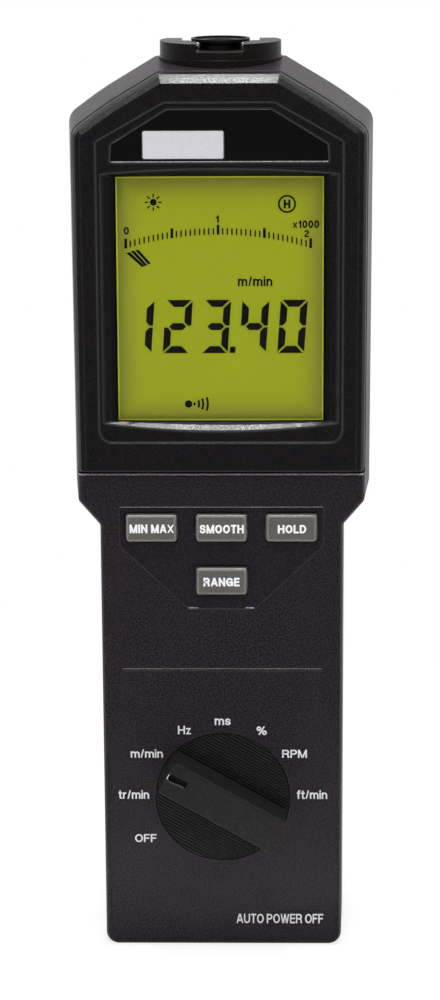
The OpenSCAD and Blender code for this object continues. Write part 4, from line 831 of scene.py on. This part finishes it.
def outer_finishes(case, show):
    """Finish of each solid that shows from outside, by its name."""
    grain = case.grain
    shell = moulded("case_texture", case.case_colour, case.edge_wear_and_highlight_colour, grain, radius=0.0005)
    front = moulded("front_texture", case.case_colour, case.edge_wear_and_highlight_colour, grain, radius=0.0005,
                    zones=FRONT_ZONES)
    cover = moulded("cover_texture", scaled(case.case_colour, 0.3), scaled(case.edge_wear_and_highlight_colour, 0.5), grain,
                    radius=0.0007, gleam=1.0, polish=True, zones=COVER_ZONES)
    # The plate's edges are painted pale grey as a painted highlight
    name_plate = moulded("plate_enamel", tone(5, 4, 5), tone(120, 118, 122), grain=0.0005, speckle=0.3,
                         rough=(0.35, 0.5), relief=0.00001, radius=0.0002, specular=0.05,
                         zones=PLATE_ZONES)
    silver_plate = moulded("plate_silver", tone(184, 184, 190), tone(214, 214, 218), grain=0.0006,
                           speckle=0.03, rough=(0.35, 0.5), relief=0.00001, radius=0.0001, specular=0.5)
    # The knob's edges are painted three times as light: partly wear, partly painted highlight on edges and
    # ridge crests
    knob = moulded("knob_texture", case.knob_colour, scaled(case.knob_colour, 3.0), grain, speckle=0.45,
                   radius=0.00015, specular=0.06, zones=KNOB_ZONES)
    # The keys' edges are painted near white: painted highlight on their rims
    key = moulded("key_texture", case.key_colour, scaled(case.key_colour, 10.0), grain, speckle=0.2,
                  rough=(0.35, 0.5), radius=0.0006, specular=0.4, gleam=1.0)
    collar = moulded("collar_texture", case.collar_colour, scaled(case.collar_colour, 1.5), grain,
                     radius=0.0002, gleam=0.15)
    return {
        "rear_shell": shell, "front_shell": front, "head_cover": cover, "battery_door": shell,
        "name_plate": name_plate, "silver_plate": silver_plate,
        "display_window": clear_pane("pane"), "lcd_cell": lit_cell("lit_cell", show),
        "key_min_max": key, "key_smooth": key, "key_hold": key, "key_range": key,
        "selector_knob": knob, "sensor_collar": collar, "sensor_barrel": collar,
        "sensor_lens": glass_lens("coated_glass"),
        "case_screws": metal("screw_blackened", tone(70, 70, 74), rough=(0.35, 0.5)),
    }


def inner_finishes():
    """Finish of each solid inside the case, by its name."""
    black = moulded("inner_black", tone(26, 26, 28), grain=0.0006, radius=0.0002)
    white = moulded("inner_white", tone(214, 214, 208), grain=0.0008, speckle=0.04, rough=(0.4, 0.55))
    rubber = moulded("mat_rubber", tone(120, 124, 126), grain=0.0005, speckle=0.1, rough=(0.7, 0.85))
    chip = moulded("chip_epoxy", tone(30, 31, 33), grain=0.0003, speckle=0.2, rough=(0.55, 0.7))
    foam = moulded("pad_foam", tone(46, 46, 50), grain=0.0012, speckle=0.4, rough=(0.85, 0.95),
                   relief=0.0003)
    steel = metal("steel", tone(176, 176, 178))
    board = solder_mask("board_lacquer")
    return {
        "backlight_plate": white, "lcd_holder": white, "detent_ring": white,
        "backlight_lamps": moulded("lamp_lens", tone(236, 232, 170), grain=0.001, speckle=0.05),
        "zebra_strips": rubber, "keypad_mat": rubber,
        "main_board": board, "sensor_board": board, "board_chips": chip, "buzzer": chip,
        "board_capacitors": metal("can_aluminium", tone(190, 192, 196)),
        "selector_rotor": black, "battery_snap": black, "lens_ring": black, "sensor_header": black,
        "knob_clip": steel, "detent_springs": steel, "detent_balls": steel,
        "selector_contacts": metal("contact_brass", tone(196, 160, 90)),
        "battery": battery_jacket("battery_jacket"), "battery_pad": foam,
        "battery_leads": moulded("lead_skin", tone(150, 30, 26), grain=0.0006, speckle=0.08),
        "laser_diode": metal("laser_can", tone(200, 170, 110)),
        "photo_detector": metal("detector_can", tone(180, 182, 186)),
        "board_screws": steel, "cover_screws": steel,
    }


# Stage

# The floor's level, just under the object's foot in metres, and the lines of its grid each way
FLOOR_LEVEL = -0.00002
FLOOR_LINES = 9
# Share of plain white in the floor as the camera sees it, near the object and away from it, and the
# distances from the middle at which it starts to rise and is full
FLOOR_WHITE = (0.8, 1.0)
FLOOR_FADE = (0.05, 0.3)
# Each lamp's name, place and target in metres, width and length, share of the power, and spread in
# degrees: a long one overhead that runs from front to back, two weak ones at the sides, and a narrow
# one on the floor ahead, which throws its light back up
LAMPS = (("long_lamp", (0, -0.2, 1.15), (0, -0.2, 0), 0.18, 1.4, 1.0, 180),
         ("left_lamp", (-0.8, -0.7, 0.8), (0, 0, 0.1), 0.6, 0.6, 0.08, 180),
         ("right_lamp", (0.64, -0.24, 0.92), (0, 0, 0.05), 0.35, 0.35, 0.07, 180),
         ("floor_lamp", (0, -0.05, 0.5), (0, -0.05, 0), 0.08, 0.01, 0.01, 4))
# The camera's place and lens in mm, and its turn to the left, down and about its own axis in degrees
CAMERA_PLACE = (13.16, -658.36, 266.82)
CAMERA_TURN = (1.198, 13.656, 0.321)
FOCAL_LENGTH, FILM_HEIGHT = 102.6, 36
# Farthest that the camera sees, in metres
SIGHT = 50


def look_from(place, target):
    """Placement of a lamp at place whose light points at target."""
    turn = (target - place).to_track_quat("-Z", "Y").to_matrix().to_4x4()
    return Matrix.Translation(place) @ turn


# Operators


class TACHO_OT_finishes(bpy.types.Operator):
    """Gives every solid of the frame its procedural finish."""

    bl_idname = "tacho.finishes"
    bl_label = "Finishes"

    def execute(self, context):
        scene = context.scene
        finishes = outer_finishes(scene.tacho_case, scene.tacho_display) | inner_finishes()
        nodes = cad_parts
        if set(finishes) != set(nodes):
            raise RuntimeError(f"finishes and solids differ: {sorted(set(finishes) ^ set(nodes))}")
        for name, finish in finishes.items():
            for slot in nodes[name].material_slots:
                slot.material = finish
        return {"FINISHED"}


class TACHO_OT_display(bpy.types.Operator):
    """Draws the reading, the scale and the signs on the display's cell."""

    bl_idname = "tacho.display"
    bl_label = "Display marks"

    def execute(self, context):
        show = context.scene.tacho_display
        back = front_of("lcd_cell") + SEATED
        dark = ink("crystal_black", tone(6, 7, 2), thin=0.1, specular=0.05)
        piece("display_marks", window_marks(show, back - MARK_THICK, back), dark, "case")
        return {"FINISHED"}


class TACHO_OT_legends(bpy.types.Operator):
    """Prints the words round the knob, at the foot of the case and on the keys."""

    bl_idname = "tacho.legends"
    bl_label = "Legends"

    def execute(self, context):
        prints = context.scene.tacho_print
        rise = prints.ink_height / MM
        pale = ink("legend_ink", prints.ink_colour)
        bright = ink("key_ink", scaled(prints.ink_colour, 1.2), thin=0.08)
        face = front_of("front_shell")
        meshes = []
        for text, box in CASE_WORDS:
            meshes += letters(text, box, face - rise, face + SEATED, CASE_STROKE)
        piece("case_legends", meshes, pale, "case")
        for node, (text, box, body) in KEY_WORDS.items():
            face = front_of(node)
            meshes = letters(text, box, face - rise, face + SEATED, KEY_STROKE)
            piece(node + "_legend", meshes, bright, body)
        return {"FINISHED"}


class TACHO_OT_stage(bpy.types.Operator):
    """Makes the pale floor, the soft lamps, the surround and the camera."""

    bl_idname = "tacho.stage"
    bl_label = "Stage"

    def execute(self, context):
        stage = context.scene.tacho_stage
        self.floor(stage)
        self.lamps(stage)
        self.surround(context, stage)
        self.camera(context)
        context.scene.view_settings.view_transform = "Standard"
        return {"FINISHED"}

    def floor(self, stage):
        """A flat square floor of a coarse grid, pale, that keeps the shadow of what stands on it."""
        count = FLOOR_LINES
        line = np.linspace(-0.5, 0.5, count) * stage.floor_width
        x, y = np.meshgrid(line, line)
        points = np.column_stack([x.ravel(), y.ravel(), np.full(x.size, FLOOR_LEVEL)])
        corner = (np.arange(count - 1)[:, None] * count + np.arange(count - 1)).ravel()
        faces = np.column_stack([corner, corner + 1, corner + count + 1, corner + count])
        mesh = mesh_from("floor", points, faces.tolist())
        mesh.materials.append(self.floor_paint(stage))
        thing = bpy.data.objects.new("floor", mesh)
        bpy.context.collection.objects.link(thing)

    def floor_paint(self, stage):
        """Pale paint with faint clouds, of which rays that show it directly get more and more plain white."""
        work = Finish("floor_paint")
        cloud = work.noise(0.3, detail=2)
        pale = work.mix(cloud, scaled(stage.floor_colour, 0.99), scaled(stage.floor_colour, 1.01))
        paint = work.add("BsdfDiffuse", {"Color": pale})
        white = work.add("Emission", {"Color": (1, 1, 1, 1), "Strength": 1.0})
        x, y, _ = work.axes()
        square = work.sums("ADD", work.sums("MULTIPLY", x, x), work.sums("MULTIPLY", y, y))
        apart = work.sums("SQRT", square)
        rise = work.span(apart, *FLOOR_FADE, *FLOOR_WHITE, smooth=True)
        share = work.sums("MULTIPLY", work.seen(), rise)
        both = work.add("MixShader", {0: share, 1: paint.outputs[0], 2: white.outputs[0]})
        return work.close(both)

    def lamps(self, stage):
        """The soft lamps, each a rectangle."""
        for name, place, target, width, length, share, spread in LAMPS:
            light = bpy.data.lights.new(name, "AREA")
            light.shape = "RECTANGLE"
            light.energy = stage.lamp_power * share
            light.size, light.size_y = width, length
            light.spread = math.radians(spread)
            lamp = bpy.data.objects.new(name, light)
            lamp.matrix_world = look_from(Vector(place), Vector(target))
            bpy.context.collection.objects.link(lamp)

    def surround(self, context, stage):
        """Even light from all round; seen straight on or by reflection it is plain white."""
        world = bpy.data.worlds.new("surround")
        world.use_nodes = True
        work = Nodes(world.node_tree)
        strength = work.span(work.seen(), 0.0, 1.0, stage.surround, 1.0)
        back = work.add("Background", {"Color": (1, 1, 1, 1), "Strength": strength})
        work.add("OutputWorld", {"Surface": back.outputs[0]})
        context.scene.world = world

    def camera(self, context):
        """The camera stands where the photograph's stood: a long lens, a little above and to the right."""
        lens = bpy.data.cameras.new("camera")
        lens.sensor_fit = "VERTICAL"
        lens.sensor_height = FILM_HEIGHT
        lens.lens = FOCAL_LENGTH
        lens.clip_end = SIGHT
        yaw, pitch, roll = (math.radians(angle) for angle in CAMERA_TURN)
        ahead = Vector((-math.sin(yaw) * math.cos(pitch), math.cos(yaw) * math.cos(pitch), -math.sin(pitch)))
        right = Vector((math.cos(yaw), math.sin(yaw), 0))
        down = ahead.cross(right)
        side = right * math.cos(roll) + down * math.sin(roll)
        foot = down * math.cos(roll) - right * math.sin(roll)
        turn = Matrix((side, -foot, -ahead)).transposed().to_4x4()
        camera = bpy.data.objects.new("camera", lens)
        camera.matrix_world = Matrix.Translation(Vector(CAMERA_PLACE) * MM) @ turn
        context.collection.objects.link(camera)
        context.scene.camera = camera


class TACHO_PT_panel(bpy.types.Panel):
    """Lists the settings and the steps."""

    bl_idname = "TACHO_PT_panel"
    bl_label = "Laser tachometer"
    bl_space_type = "VIEW_3D"
    bl_region_type = "UI"
    bl_category = "Tachometer"

    def draw(self, context):
        for group in (context.scene.tacho_case, context.scene.tacho_print, context.scene.tacho_display,
                      context.scene.tacho_stage):
            box = self.layout.box()
            for name in group.__annotations__:
                box.prop(group, name)
        for step in STEPS:
            self.layout.operator(step.bl_idname)


STEPS = (TACHO_OT_finishes, TACHO_OT_display, TACHO_OT_legends, TACHO_OT_stage)
GROUPS = {"tacho_case": CaseSettings, "tacho_print": PrintSettings, "tacho_display": DisplaySettings,
          "tacho_stage": StageSettings}


def register():
    """Registers the settings, the steps and the panel."""
    for name, group in GROUPS.items():
        bpy.utils.register_class(group)
        setattr(bpy.types.Scene, name, PointerProperty(type=group))
    for step in STEPS:
        bpy.utils.register_class(step)
    bpy.utils.register_class(TACHO_PT_panel)


def unregister():
    """Takes them out again."""
    bpy.utils.unregister_class(TACHO_PT_panel)
    for step in reversed(STEPS):
        bpy.utils.unregister_class(step)
    for name, group in GROUPS.items():
        delattr(bpy.types.Scene, name)
        bpy.utils.unregister_class(group)


def main():
    register()
    bpy.ops.tacho.finishes()
    bpy.ops.tacho.display()
    bpy.ops.tacho.legends()
    bpy.ops.tacho.stage()


if __name__ == "__main__":
    main()
